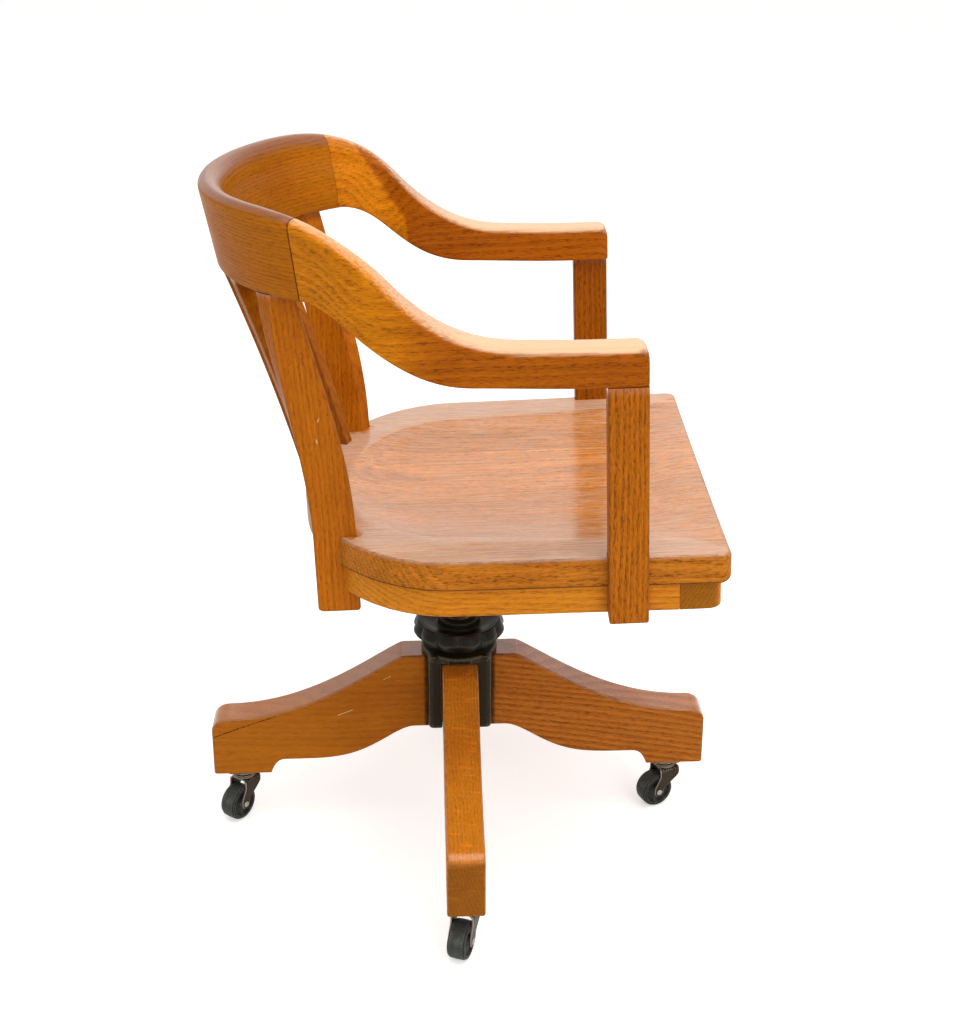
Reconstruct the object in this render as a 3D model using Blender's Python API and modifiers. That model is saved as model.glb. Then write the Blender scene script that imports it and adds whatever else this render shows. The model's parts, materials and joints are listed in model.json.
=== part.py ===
# Oak office armchair with a horseshoe back, on a screw spindle and four castors.
# Metres, +Z up. The chair faces -Y and its left arm, as the sitter has it, is at +X.
# The origin is on the floor, under the spindle.
import math

import bmesh
import bpy
from mathutils import Matrix, Vector

# Fits
CLEAR = 0.0003
RUNNING = 0.0004
WELD = 0.00005

# Seat
SEAT_RIM_HEIGHT = 0.4717
SEAT_RAKE = math.radians(1.9)
SEAT_THICK = 0.0341
SEAT_FRONT = 0.2957
SEAT_REAR = 0.180
SEAT_HALF_WIDTH = 0.239
SEAT_FLARE = 0.006
SEAT_CORNER = 0.012
SEAT_EDGE_ROUND = 0.0035
SCOOP_HALF_WIDTH = 0.1765
SCOOP_REAR = 0.130
SCOOP_SPLAY = 0.030
SCOOP_FLARE = 0.022
SCOOP_FLARE_RUN = 0.051
SCOOP_DEPTH = 0.012
SCOOP_FADE = 0.100
SCOOP_FRONT_SHARE = 0.2

# Skirt under the seat
SKIRT_HEIGHT = 0.0332
SKIRT_THICK = 0.022
SKIRT_INSET = 0.005
FRONT_RAIL_THICK = 0.047
FRONT_RAIL_INSET = 0.009
FRONT_RAIL_CORNER = 0.016

# Arms and their front posts
ARM_LIFT = 0.1988
ARM_HEIGHT = 0.0415
ARM_THICK = 0.0445
ARM_WAIST = 0.004
ARM_RISE = 0.0060
ARM_EDGE = 0.005
ARM_END_ROUND = 0.004
ARM_SWEEP = 0.19
FRONT_POST_Y = -0.1829
FRONT_POST_WIDTH = 0.043
FRONT_POST_THICK = 0.0262
FRONT_POST_PROUD = 0.0126
FRONT_POST_DROP = 0.006

# Crest rail
BACK_CENTRE = 0.025
CREST_RADIUS = 0.2525
CREST_LEAN = 0.0125
CREST_THICK = 0.030
CREST_HOLLOW = 0.003
CREST_LIFT = 0.2873
CREST_HEIGHT = 0.0955
CREST_CROWN_WIDTH = 0.019
CREST_CROWN_DROP = 0.028
CREST_FLAT = 0.0035
CREST_LEAN_BEHIND = 0.003
CREST_EDGE = 0.009
CREST_END = math.radians(58.5)
UNDER_OGEE_START = -0.0274
UNDER_OGEE_SKEW = 1.25
TOP_OGEE_START = -0.0735
TOP_OGEE_MIDDLE = 0.0615
TOP_OGEE_PAST_SEAM = 0.0774
TOP_OGEE_POWER = 2.4

# Back posts and slats
BACK_POST_FOOT = 0.155
BACK_POST_TOP = 0.168
BACK_POST_THICK = 0.018
BACK_POST_DEPTH = 0.050
BACK_POST_TOP_DEPTH = 0.0195
BACK_POST_HOUSING = 0.0214
BACK_POST_DROP = 0.0255
BACK_POST_HEEL = 0.005
BACK_POST_BEND = 0.140
BACK_POST_SETBACK = 0.0015
BACK_POST_REAR_BEND = 1.06
BACK_POST_BEVEL_RUN = 1.8
POST_EDGE = 0.0025
SLAT_COUNT = 6
SLAT_WIDTH = 0.016
SLAT_DEPTH = 0.018
SLAT_FOOT_PITCH = 0.0454
SLAT_TOP_STEP = math.radians(11.1)
SLAT_BOW = 0.005
SLAT_TOP_SETBACK = 0.0115
SLAT_SETBACK = 0.0157
SLAT_EDGE = 0.0015

# Castors
CASTOR_HEIGHT = 0.0686
CASTOR_INSET = 0.035
FRONT_CASTOR_INSET = 0.045
CASTOR_TRAIL = 0.0145
CASTOR_WHEEL_RADIUS = 0.0222
CASTOR_WHEEL_WIDTH = 0.022
CASTOR_TURNS = {"rear": 55.0, "left": 60.0, "front": 25.0, "right": 70.0}
CASTOR_PLATE = 0.037
CASTOR_PLATE_CORNER = 0.005
CASTOR_PLATE_THICK = 0.0022
CASTOR_RACE_THICK = 0.0110
CASTOR_RACE_RADIUS = 0.0145
CASTOR_CROWN_LEAD = 0.0150
CASTOR_CROWN_TAIL = 0.0130
CASTOR_CROWN_DEPTH = 0.0123
CASTOR_CROWN_ROUND = 0.006
CASTOR_SHEET = 0.0022
CASTOR_WHEEL_GAP = 0.0008
CASTOR_CHEEK_END = 0.0062
CASTOR_CHEEK_CURVE = 0.008
CASTOR_AXLE_RADIUS = 0.0024
CASTOR_RIVET_RADIUS = 0.0038
CASTOR_RIVET_HEIGHT = 0.0016
KINGPIN_RADIUS = 0.004

# Base
BASE_TURN = math.radians(1.0)
LEG_THICK = 0.0433
LEG_REACH = 0.312
LEG_RISE = 0.1644
LEG_HUB_DEPTH = 0.1005
LEG_END_DEPTH = 0.0791
LEG_PAD = 0.072
LEG_PAD_STEP = 0.0194
LEG_PAD_RUN = 0.022
LEG_SHOULDER = 0.031
LEG_HEEL = 0.017
LEG_NOSE = 0.020
LEG_NOSE_DROP = 0.016
LEG_TOE_ROUND = 0.003
LEG_TOP_SWEEP = 0.63
LEG_UNDER_SWEEP = 2.05
LEG_EDGE = 0.003
HUB_WIDTH = 0.080
HUB_DEPTH = 0.0950
HUB_CORE = 0.044
HUB_EDGE = 0.006
HUB_LIP_REACH = 0.046
HUB_LIP_WIDTH = 0.031
HUB_LIP_THICK = 0.005
HUB_RECESS = 0.034
HUB_CROWN = 0.0095
HUB_SHOULDER_ROUND = 0.008

# Swivel, height screw and tilting iron
SPINDLE_RADIUS = 0.0155
SPINDLE_TAIL = 0.110
SPINDLE_CHAMFER = 0.002
SLEEVE_WALL = 0.003
SLEEVE_FLANGE = 0.028
SLEEVE_FLANGE_THICK = 0.003
WHEEL_RADIUS = 0.0575
WHEEL_NECK = 0.030
WHEEL_HEIGHT = 0.040
WHEEL_LOBES = 12
WHEEL_LOBE_DEPTH = 0.0042
WHEEL_LOBE_FULLNESS = 0.35
IRON_DROP = 0.0447
IRON_PLATE = 0.006
IRON_REACH = 0.145
IRON_ARM = 0.028
IRON_EAR = 0.008
IRON_EAR_RADIUS = 0.016
IRON_EAR_SPREAD = 1.7
IRON_BODY_HALF = 0.050
IRON_BODY_MARGIN = 0.006
YOKE_BARREL_RADIUS = 0.0120
YOKE_BOSS_RADIUS = 0.0235
YOKE_BOSS_HEIGHT = 0.040
YOKE_SOCKET = 0.022
YOKE_NECK_LAP = 0.004
TILT_AXLE_RADIUS = 0.006
TILT_AXLE_HEAD = 0.010
TILT_AXLE_HEAD_THICK = 0.004
SPRING_WIRE = 0.0022
SPRING_CURLS = 3.5
SPRING_PITCH = 0.0050
SPRING_POINTS = 9
SPRING_FOOT = 0.016

# Heights and places that follow from the sizes above
SEAT_UNDER = SEAT_RIM_HEIGHT - SEAT_THICK
SKIRT_TOP = SEAT_UNDER - CLEAR
SKIRT_UNDER = SKIRT_TOP - SKIRT_HEIGHT
TILT_HEIGHT = SEAT_UNDER - IRON_DROP
ARM_UNDER = SEAT_RIM_HEIGHT + ARM_LIFT
CREST_UNDER = SEAT_RIM_HEIGHT + CREST_LIFT
CREST_TOP = CREST_UNDER + CREST_HEIGHT
LEG_TOP = CASTOR_HEIGHT + LEG_RISE
HUB_LIP_UNDER = LEG_TOP + CLEAR
HUB_TOP = HUB_LIP_UNDER + HUB_CROWN
HUB_UNDER = LEG_TOP - HUB_DEPTH
WHEEL_UNDER = HUB_TOP + CLEAR + SLEEVE_FLANGE_THICK + CLEAR
ARM_FRONT = FRONT_POST_Y - FRONT_POST_WIDTH / 2
CASTOR_REACH = LEG_REACH - CASTOR_INSET
FRONT_CASTOR_REACH = LEG_REACH - FRONT_CASTOR_INSET
YOKE_BARREL_HALF = YOKE_BOSS_RADIUS + SPRING_CURLS * SPRING_PITCH + 4 * SPRING_WIRE

for old in list(bpy.data.objects):
    bpy.data.objects.remove(old, do_unlink=True)

chair = bpy.data.collections.new("office_armchair")
cutters = bpy.data.collections.new("cutters")
for group in (chair, cutters):
    bpy.context.scene.collection.children.link(group)


def finish(name, colour, roughness, metallic=0.0):
    material = bpy.data.materials.new(name)
    material.use_nodes = True
    shader = material.node_tree.nodes["Principled BSDF"]
    shader.inputs["Base Color"].default_value = (*colour, 1.0)
    shader.inputs["Roughness"].default_value = roughness
    shader.inputs["Metallic"].default_value = metallic
    material.diffuse_color = (*colour, 1.0)
    return material


OAK = finish("golden_oak", (0.47, 0.17, 0.03), 0.32)
OAK_SEAT = finish("golden_oak_seat", (0.50, 0.22, 0.08), 0.28)
IRON = finish("black_enamelled_iron", (0.022, 0.026, 0.022), 0.42, 0.4)
BRONZE = finish("bronzed_steel", (0.050, 0.042, 0.034), 0.38, 0.8)
STEEL = finish("spring_steel", (0.20, 0.19, 0.18), 0.40, 1.0)
TREAD = finish("grey_castor_tread", (0.055, 0.058, 0.060), 0.60)


def empty(name, place, turn=(0.0, 0.0, 0.0), parent=None):
    frame = bpy.data.objects.new(name, None)
    frame.location = place
    frame.rotation_euler = turn
    frame.parent = parent
    chair.objects.link(frame)
    return frame


base_frame = empty("base_frame", (0.0, 0.0, 0.0), (0.0, 0.0, BASE_TURN))
spindle_frame = empty("spindle_axis", (0.0, 0.0, 0.0))
# The seat, arms and back lean with the tilting iron, so they hang on its axis.
tilt_frame = empty("tilt_axis", (0.0, 0.0, TILT_HEIGHT), (-SEAT_RAKE, 0.0, 0.0), spindle_frame)
# Sizes of the seat and back are given from the floor, as if the seat were level.
FROM_FLOOR = Matrix.Translation((0.0, 0.0, -TILT_HEIGHT))


def part(name, mesh, material, parent=None, place=(0.0, 0.0, 0.0), turn=(0.0, 0.0, 0.0)):
    thing = bpy.data.objects.new(name, mesh)
    if material.name not in mesh.materials:
        mesh.materials.append(material)
    thing.location = place
    thing.rotation_euler = turn
    thing.parent = parent
    chair.objects.link(thing)
    return thing


def cutter(name, mesh, parent=None):
    thing = bpy.data.objects.new(name, mesh)
    thing.parent = parent
    thing.hide_render = True
    thing.display_type = "WIRE"
    cutters.objects.link(thing)
    return thing


def boolean(target, other, operation):
    change = target.modifiers.new(operation.lower(), "BOOLEAN")
    change.operation = operation
    change.solver = "EXACT"
    change.object = other


def round_edges(thing, width, segments=2, angle=50.0):
    bevel = thing.modifiers.new("rounded_edges", "BEVEL")
    bevel.width = width
    bevel.segments = segments
    bevel.limit_method = "ANGLE"
    bevel.angle_limit = math.radians(angle)


def finished_mesh(thing, name):
    # The evaluated mesh, kept so that several objects can share it; its maker is removed.
    bpy.context.view_layer.update()
    evaluated = thing.evaluated_get(bpy.context.evaluated_depsgraph_get())
    mesh = bpy.data.meshes.new_from_object(evaluated)
    mesh.name = name
    bpy.data.objects.remove(thing, do_unlink=True)
    return mesh


def smooth_shaded(mesh, angle=35.0):
    mesh.shade_smooth()
    mesh.set_sharp_from_angle(angle=math.radians(angle))
    return mesh


def loft(name, rings, wrap=False):
    # Sections with equal counts of points, skinned in order and capped unless they come round.
    shape = bmesh.new()
    loops = [[shape.verts.new(point) for point in ring] for ring in rings]
    following = loops[1:] + loops[:1] if wrap else loops[1:]
    for lower, upper in zip(loops, following):
        for i in range(len(lower)):
            j = (i + 1) % len(lower)
            shape.faces.new((lower[i], lower[j], upper[j], upper[i]))
    if not wrap:
        shape.faces.new(loops[0])
        shape.faces.new(loops[-1])
    bmesh.ops.recalc_face_normals(shape, faces=shape.faces)
    mesh = bpy.data.meshes.new(name)
    shape.to_mesh(mesh)
    shape.free()
    return smooth_shaded(mesh)


def rounded(corners, radii, steps=3):
    # A closed outline with an arc of the given radius at each corner.
    points = []
    count = len(corners)
    for i, corner in enumerate(corners):
        here = Vector(corner)
        back = (Vector(corners[i - 1]) - here)
        ahead = (Vector(corners[(i + 1) % count]) - here)
        half = back.angle(ahead) / 2
        # A side shared with another rounded corner gives each of them a little under half.
        room = (0.45 if radii[i - 1] else 0.95) * back.length
        room = min(room, (0.45 if radii[(i + 1) % count] else 0.95) * ahead.length)
        radius = min(radii[i], room * math.tan(half))
        if radius < WELD:
            points.append(here)
            continue
        middle = here + (back.normalized() + ahead.normalized()).normalized() * (radius / math.sin(half))
        start = here + back.normalized() * (radius / math.tan(half)) - middle
        end = here + ahead.normalized() * (radius / math.tan(half)) - middle
        sweep = start.angle_signed(end)
        for k in range(steps + 1):
            spun = start.copy()
            spun.rotate(Matrix.Rotation(-sweep * k / steps, 2))
            points.append(middle + spun)
    return points


def slab(name, outlines, thickness):
    # Flat outlines in XY, the first one solid and the rest holes, thickened about z = 0.
    curve = bpy.data.curves.new(name, "CURVE")
    curve.dimensions = "2D"
    curve.fill_mode = "BOTH"
    curve.extrude = thickness / 2
    for outline in outlines:
        spline = curve.splines.new("POLY")
        spline.points.add(len(outline) - 1)
        for knot, point in zip(spline.points, outline):
            knot.co = (point[0], point[1], 0.0, 1.0)
        spline.use_cyclic_u = True
    maker = bpy.data.objects.new(name, curve)
    cutters.objects.link(maker)
    mesh = finished_mesh(maker, name)
    shape = bmesh.new()
    shape.from_mesh(mesh)
    bmesh.ops.remove_doubles(shape, verts=shape.verts, dist=WELD)
    bmesh.ops.dissolve_limit(shape, angle_limit=math.radians(0.5), verts=shape.verts, edges=shape.edges)
    shape.to_mesh(mesh)
    shape.free()
    return smooth_shaded(mesh)


def box(name, low, high):
    shape = bmesh.new()
    bmesh.ops.create_cube(shape, size=1.0)
    size = [b - a for a, b in zip(low, high)]
    middle = [(a + b) / 2 for a, b in zip(low, high)]
    bmesh.ops.scale(shape, vec=size, verts=shape.verts)
    bmesh.ops.translate(shape, vec=middle, verts=shape.verts)
    mesh = bpy.data.meshes.new(name)
    shape.to_mesh(mesh)
    shape.free()
    return mesh


def rod(name, radius, low, high, sides=24, top_radius=None):
    shape = bmesh.new()
    bmesh.ops.create_cone(shape, cap_ends=True, segments=sides, radius1=radius,
                          radius2=radius if top_radius is None else top_radius, depth=high - low)
    bmesh.ops.translate(shape, vec=(0.0, 0.0, (low + high) / 2), verts=shape.verts)
    mesh = bpy.data.meshes.new(name)
    shape.to_mesh(mesh)
    shape.free()
    return smooth_shaded(mesh)


def turned(name, profile, material, parent=None, steps=32, place=(0.0, 0.0, 0.0)):
    # A profile of (radius, height) points that runs round its section, turned about Z.
    mesh = bpy.data.meshes.new(name)
    ends = [(i, (i + 1) % len(profile)) for i in range(len(profile))]
    mesh.from_pydata([(r, 0.0, z) for r, z in profile], ends, [])
    thing = part(name, mesh, material, parent, place)
    screw = thing.modifiers.new("turned", "SCREW")
    screw.axis = "Z"
    screw.steps = steps
    screw.render_steps = steps
    screw.use_merge_vertices = True
    screw.merge_threshold = WELD
    screw.use_smooth_shade = True
    return thing


# Takes an outline drawn in XY to the same outline in YZ.
STAND_UP = Matrix(((0, 0, 1, 0), (1, 0, 0, 0), (0, 1, 0, 0), (0, 0, 0, 1)))


def lay_along_x(mesh):
    mesh.transform(Matrix.Rotation(math.pi / 2, 4, "Y"))
    return mesh


def ease(t):
    t = min(max(t, 0.0), 1.0)
    return t * t * (3.0 - 2.0 * t)


# Seat


def seat_edge(x):
    # How far back the seat's rear edge is at x: half an ellipse behind the spindle.
    return SEAT_REAR * math.sqrt(max(0.0, 1.0 - (x / SEAT_HALF_WIDTH) ** 2))


def seat_side(y):
    # Half the seat's width at y: straight sides that flare towards the front.
    if y > 0.0:
        return SEAT_HALF_WIDTH * math.sqrt(max(0.0, 1.0 - (y / SEAT_REAR) ** 2))
    return SEAT_HALF_WIDTH + SEAT_FLARE * (-y / SEAT_FRONT)


def seat_outline(inset=0.0):
    half = seat_side(-SEAT_FRONT) - inset
    front = -SEAT_FRONT + inset
    corner = SEAT_CORNER - inset
    right = []
    for k in range(6):
        right.append((half * (k - 0.5) / 6.0 if k else 0.0, front))
    for k in range(5):
        angle = math.pi / 2 * k / 4
        right.append((half - corner + corner * math.sin(angle), front + corner - corner * math.cos(angle)))
    for k in range(1, 9):
        y = (front + corner) * (1.0 - k / 8)
        right.append((seat_side(y) - inset, y))
    for k in range(1, 15):
        angle = math.pi / 2 * k / 14
        right.append(((SEAT_HALF_WIDTH - inset) * math.cos(angle), (SEAT_REAR - inset) * math.sin(angle)))
    left = [(-x, y) for x, y in reversed(right[1:-1])]
    return right + left


def scoop_half(y):
    # Half the scoop's width: it splays towards the front and flares out to the corners there.
    if y > 0.0:
        return SCOOP_HALF_WIDTH
    flare = ease((SCOOP_FLARE_RUN - y - SEAT_FRONT) / SCOOP_FLARE_RUN)
    return SCOOP_HALF_WIDTH - SCOOP_SPLAY * y / SEAT_FRONT + SCOOP_FLARE * flare


def scoop_reach(x, y):
    # 1 round the scoop and 0 in its middle, for a point of the seat.
    if y > 0.0:
        return math.hypot(x / SCOOP_HALF_WIDTH, y / SCOOP_REAR)
    return max(abs(x) / scoop_half(y), -y / (SEAT_FRONT - 2 * SEAT_EDGE_ROUND))


def scoop_height(x, y):
    # The scoop runs out over the front edge, where only a share of its depth is left.
    reach = scoop_reach(x, y) if y > 0.0 else abs(x) / scoop_half(y)
    depth = SCOOP_FRONT_SHARE + (1.0 - SCOOP_FRONT_SHARE) * ease((y + SEAT_FRONT) / SCOOP_FADE)
    return SEAT_RIM_HEIGHT - SCOOP_DEPTH * depth * (1.0 - min(reach, 1.0) ** 3)


def seat_rings():
    edge, under = SEAT_EDGE_ROUND, SEAT_UNDER
    lower = [(0.3 * edge, under), (0.0, under + 0.3 * edge)]
    rings = [[(x, y, z) for x, y in seat_outline(inset)] for inset, z in lower]
    for inset, drop in ((0.0, edge), (0.3 * edge, 0.3 * edge), (edge, 0.0)):
        rings.append([(x, y, scoop_height(x, y) - drop) for x, y in seat_outline(inset)])
    rim = seat_outline(edge)
    for share in (1.0, 0.92, 0.8, 0.6, 0.35, 0.12):
        ring = []
        for x, y in rim:
            scale = share / scoop_reach(x, y)
            ring.append((x * scale, y * scale, scoop_height(x * scale, y * scale)))
        rings.append(ring)
    return rings


def post_foot(side):
    # Corners of a back post where it stands in the seat: front pair, then rear pair.
    outer = BACK_POST_FOOT + BACK_POST_THICK / 2
    inner = BACK_POST_FOOT - BACK_POST_THICK / 2
    fronts = [seat_edge(x) - BACK_POST_HOUSING for x in (outer, inner)]
    rear = fronts[0] + BACK_POST_DEPTH
    return [(side * outer, fronts[0]), (side * inner, fronts[1]), (side * inner, rear), (side * outer, rear)]


def front_post_box(side, low, high, gap=0.0):
    outer = seat_side(FRONT_POST_Y) + FRONT_POST_PROUD
    inner = outer - FRONT_POST_THICK
    xs = sorted((side * (inner - gap), side * (outer + gap)))
    half = FRONT_POST_WIDTH / 2 + gap
    return (xs[0], FRONT_POST_Y - half, low), (xs[1], FRONT_POST_Y + half, high)


ARM_OUTER = seat_side(FRONT_POST_Y) + FRONT_POST_PROUD

housings = []
for side_name, side in (("left", 1), ("right", -1)):
    low, high = SKIRT_UNDER - SKIRT_HEIGHT, SEAT_RIM_HEIGHT + SKIRT_HEIGHT
    grown = []
    corners = [Vector(c) for c in post_foot(side)]
    middle = sum(corners, Vector((0.0, 0.0))) / 4
    for corner in corners:
        away = corner - middle
        grown.append(corner + Vector((math.copysign(CLEAR, away.x), math.copysign(CLEAR, away.y))))
    mesh = loft(f"back_post_housing_{side_name}", [[(*c, z) for c in grown] for z in (low, high)])
    mesh.transform(FROM_FLOOR)
    back_housing = cutter(f"back_post_housing_{side_name}", mesh, tilt_frame)
    corner_low, corner_high = front_post_box(side, low, high, CLEAR)
    mesh = box(f"front_post_housing_{side_name}", corner_low, corner_high)
    mesh.transform(FROM_FLOOR)
    front_housing = cutter(f"front_post_housing_{side_name}", mesh, tilt_frame)
    housings.append((back_housing, front_housing))

seat_mesh = loft("seat", seat_rings())
seat_mesh.transform(FROM_FLOOR)
seat = part("seat", seat_mesh, OAK_SEAT, tilt_frame)
for pair in housings:
    for housing in pair:
        boolean(seat, housing, "DIFFERENCE")

# Skirt


def skirt_section(outer, inner):
    corners = [(*outer, SKIRT_UNDER), (*inner, SKIRT_UNDER), (*inner, SKIRT_TOP), (*outer, SKIRT_TOP)]
    return [Vector(corner) for corner in corners]


rail_rear = -SEAT_FRONT + FRONT_RAIL_INSET + FRONT_RAIL_THICK
rail_half = seat_side(rail_rear) - SKIRT_INSET
rail_front = -SEAT_FRONT + FRONT_RAIL_INSET
rail_outline = rounded([(-rail_half, rail_front), (rail_half, rail_front), (rail_half, rail_rear),
                        (-rail_half, rail_rear)], [FRONT_RAIL_CORNER, FRONT_RAIL_CORNER, 0.0, 0.0])
rail_mesh = slab("skirt_front", [rail_outline], SKIRT_HEIGHT)
rail_mesh.transform(FROM_FLOOR @ Matrix.Translation((0.0, 0.0, (SKIRT_UNDER + SKIRT_TOP) / 2)))
part("skirt_front", rail_mesh, OAK, tilt_frame)

post_outer = BACK_POST_FOOT + BACK_POST_THICK / 2 + CLEAR
post_inner = BACK_POST_FOOT - BACK_POST_THICK / 2 - CLEAR
for (side_name, side), (back_housing, front_housing) in zip((("left", 1), ("right", -1)), housings):
    rings = []
    start = rail_rear + CLEAR
    for k in range(5):
        y = start * (1.0 - k / 4)
        x = seat_side(y) - SKIRT_INSET
        rings.append(skirt_section((side * x, y), (side * (x - SKIRT_THICK), y)))
    last = math.acos(post_outer / (SEAT_HALF_WIDTH - SKIRT_INSET))
    for k in range(1, 11):
        angle = last * k / 10
        outer = Vector(((SEAT_HALF_WIDTH - SKIRT_INSET) * math.cos(angle),
                        (SEAT_REAR - SKIRT_INSET) * math.sin(angle)))
        normal = Vector((math.cos(angle) / SEAT_HALF_WIDTH, math.sin(angle) / SEAT_REAR)).normalized()
        # The last sections turn square to the post that the skirt butts against.
        normal = normal.lerp(Vector((0.0, 1.0)), ease((k - 5) / 5)).normalized()
        inner = outer - normal * SKIRT_THICK
        rings.append(skirt_section((side * outer.x, outer.y), (side * inner.x, inner.y)))
    mesh = loft(f"skirt_{side_name}", rings)
    mesh.transform(FROM_FLOOR)
    skirt = part(f"skirt_{side_name}", mesh, OAK, tilt_frame)
    boolean(skirt, front_housing, "DIFFERENCE")

rings = []
for k in range(13):
    x = post_inner * (2.0 * k / 12 - 1.0)
    y = (SEAT_REAR - SKIRT_INSET) * math.sqrt(1.0 - (x / (SEAT_HALF_WIDTH - SKIRT_INSET)) ** 2)
    rings.append(skirt_section((x, y), (x, y - SKIRT_THICK)))
rear_skirt = loft("skirt_rear", rings)
rear_skirt.transform(FROM_FLOOR)
part("skirt_rear", rear_skirt, OAK, tilt_frame)

# Arms, front posts and crest rail


def under_ogee(y):
    share = min(max((y - UNDER_OGEE_START) / (SEAM_Y - UNDER_OGEE_START), 0.0), 1.0)
    return ease(share ** UNDER_OGEE_SKEW)


def top_ogee(y):
    # A short hollow curve up to the middle, then a longer round one that runs out on the crest;
    # the second power makes both curves meet at one slope.
    end = SEAM_Y + TOP_OGEE_PAST_SEAM
    hollow, swell = TOP_OGEE_MIDDLE - TOP_OGEE_START, end - TOP_OGEE_MIDDLE
    if y < TOP_OGEE_MIDDLE:
        return 0.5 * max((y - TOP_OGEE_START) / hollow, 0.0) ** TOP_OGEE_POWER
    return 1.0 - 0.5 * max((end - y) / swell, 0.0) ** (TOP_OGEE_POWER * swell / hollow)


def rail_section(height, under, thick, lean, edges, crown, hollow):
    # Section of the horseshoe as (distance in from its outer top edge, height) points: a crisp
    # outer edge, a top that rolls over inwards by the crown's width and drop, a hollowed inner face.
    wide, drop = crown
    roll = []
    for k in range(5):
        turn = math.pi / 2 * k / 4
        roll.append((thick - wide + wide * math.sin(turn), height - drop + drop * math.cos(turn)))
    face = []
    low, high = under + edges[2], height - drop
    for share in (0.75, 0.5, 0.25):
        straight = thick + lean * (1.0 - share)
        face.append((straight + hollow * math.sin(math.pi * share), low + (high - low) * share))
    corners = [(lean, under), (0.0, height), *roll, *face, (lean + thick, under)]
    return rounded(corners, [edges[0], edges[1]] + [0.0] * 8 + [edges[2]], 3)


def crest_radius(angle):
    # The horseshoe is a little flatter behind than a circle.
    return CREST_RADIUS - CREST_FLAT * math.cos(angle) ** 4


def crest_lean(angle):
    return CREST_LEAN + CREST_LEAN_BEHIND * math.cos(angle) ** 4


SEAM_Y = BACK_CENTRE + (CREST_RADIUS - CREST_THICK / 2) * math.cos(CREST_END)


def rail_heights(y):
    straight = ARM_RISE * ease((y - FRONT_POST_Y - FRONT_POST_WIDTH / 2) / (-FRONT_POST_Y))
    arm_under = ARM_UNDER + straight
    arm_top = arm_under + ARM_HEIGHT
    under = arm_under + (CREST_UNDER - arm_under) * under_ogee(y)
    top = arm_top + (CREST_TOP - arm_top) * top_ogee(y)
    return under, top


def rail_ring(point, normal, blend, lean, edge, inset=0.0):
    # blend runs from 0 on the straight arm to 1 at the crest.
    thick = ARM_THICK + (CREST_THICK - ARM_THICK) * blend - 4.0 * ARM_WAIST * blend * (1.0 - blend)
    under, top = rail_heights((point - normal * thick / 2).y)
    crown = (ARM_EDGE + (CREST_CROWN_WIDTH - ARM_EDGE) * blend,
             ARM_EDGE + (CREST_CROWN_DROP - ARM_EDGE) * blend)
    edges = (0.5 * ARM_EDGE, edge, 0.6 * ARM_EDGE)
    section = rail_section(top - inset, under + inset, thick - 2 * inset, lean, edges, crown,
                           CREST_HOLLOW * blend)
    return [Vector((*(point - normal * (depth + inset)), z)) for depth, z in section]


def arm_path(t):
    # Outer edge of an arm from the end of its straight part (t = 0) to the crest seam (t = 1).
    start = Vector((ARM_OUTER, BACK_CENTRE))
    seam = crest_radius(CREST_END)
    end = Vector((seam * math.sin(CREST_END), BACK_CENTRE + seam * math.cos(CREST_END)))
    leave = Vector((0.0, ARM_SWEEP))
    arrive = Vector((-math.cos(CREST_END), math.sin(CREST_END))) * ARM_SWEEP
    s = 1.0 - t
    point = start * (s * s * (1.0 + 2.0 * t)) + leave * (t * s * s)
    point += end * (t * t * (3.0 - 2.0 * t)) - arrive * (t * t * s)
    return point


def arm_rings():
    rings = []
    across = Vector((1.0, 0.0))
    rings.append(rail_ring(Vector((ARM_OUTER, ARM_FRONT)), across, 0.0, 0.0, ARM_EDGE, ARM_END_ROUND))
    nose = 0.3 * ARM_END_ROUND
    rings.append(rail_ring(Vector((ARM_OUTER, ARM_FRONT + nose)), across, 0.0, 0.0, ARM_EDGE, nose))
    for k in range(8):
        y = ARM_FRONT + ARM_END_ROUND + (BACK_CENTRE - ARM_FRONT - ARM_END_ROUND) * k / 8
        rings.append(rail_ring(Vector((ARM_OUTER, y)), across, 0.0, 0.0, ARM_EDGE))
    seam = math.asin(CLEAR / 2 / CREST_RADIUS)
    for k in range(13):
        t = k / 12 * (1.0 - seam)
        ahead = arm_path(min(t + 0.001, 1.0)) - arm_path(max(t - 0.001, 0.0))
        normal = Vector((ahead.y, -ahead.x)).normalized()
        rings.append(rail_ring(arm_path(t), normal, ease(t), crest_lean(CREST_END) * ease(t), ARM_EDGE))
    return rings


for side_name, side in (("left", 1), ("right", -1)):
    mesh = loft(f"arm_{side_name}", [[(side * p.x, p.y, p.z) for p in ring] for ring in arm_rings()])
    mesh.transform(FROM_FLOOR)
    part(f"arm_{side_name}", mesh, OAK, tilt_frame)
    corner_low, corner_high = front_post_box(side, SKIRT_UNDER - FRONT_POST_DROP, ARM_UNDER - CLEAR)
    mesh = box(f"front_post_{side_name}", corner_low, corner_high)
    mesh.transform(FROM_FLOOR)
    post = part(f"front_post_{side_name}", mesh, OAK, tilt_frame)
    round_edges(post, POST_EDGE)

rings = []
gap_angle = CLEAR / CREST_RADIUS
for k in range(25):
    angle = (CREST_END - gap_angle) * (k / 12 - 1.0)
    normal = Vector((math.sin(angle), math.cos(angle)))
    outer = Vector((0.0, BACK_CENTRE)) + normal * crest_radius(angle)
    edge = ARM_EDGE + (CREST_EDGE - ARM_EDGE) * ease(2.0 - 2.0 * abs(angle) / CREST_END)
    rings.append(rail_ring(outer, normal, 1.0, crest_lean(angle), edge))
crest_mesh = loft("crest_rail", rings)
crest_mesh.transform(FROM_FLOOR)
part("crest_rail", crest_mesh, OAK, tilt_frame)

# Back posts and slats


def back_circle(x, radius):
    return BACK_CENTRE + math.sqrt(max(0.0, radius * radius - x * x))


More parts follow.
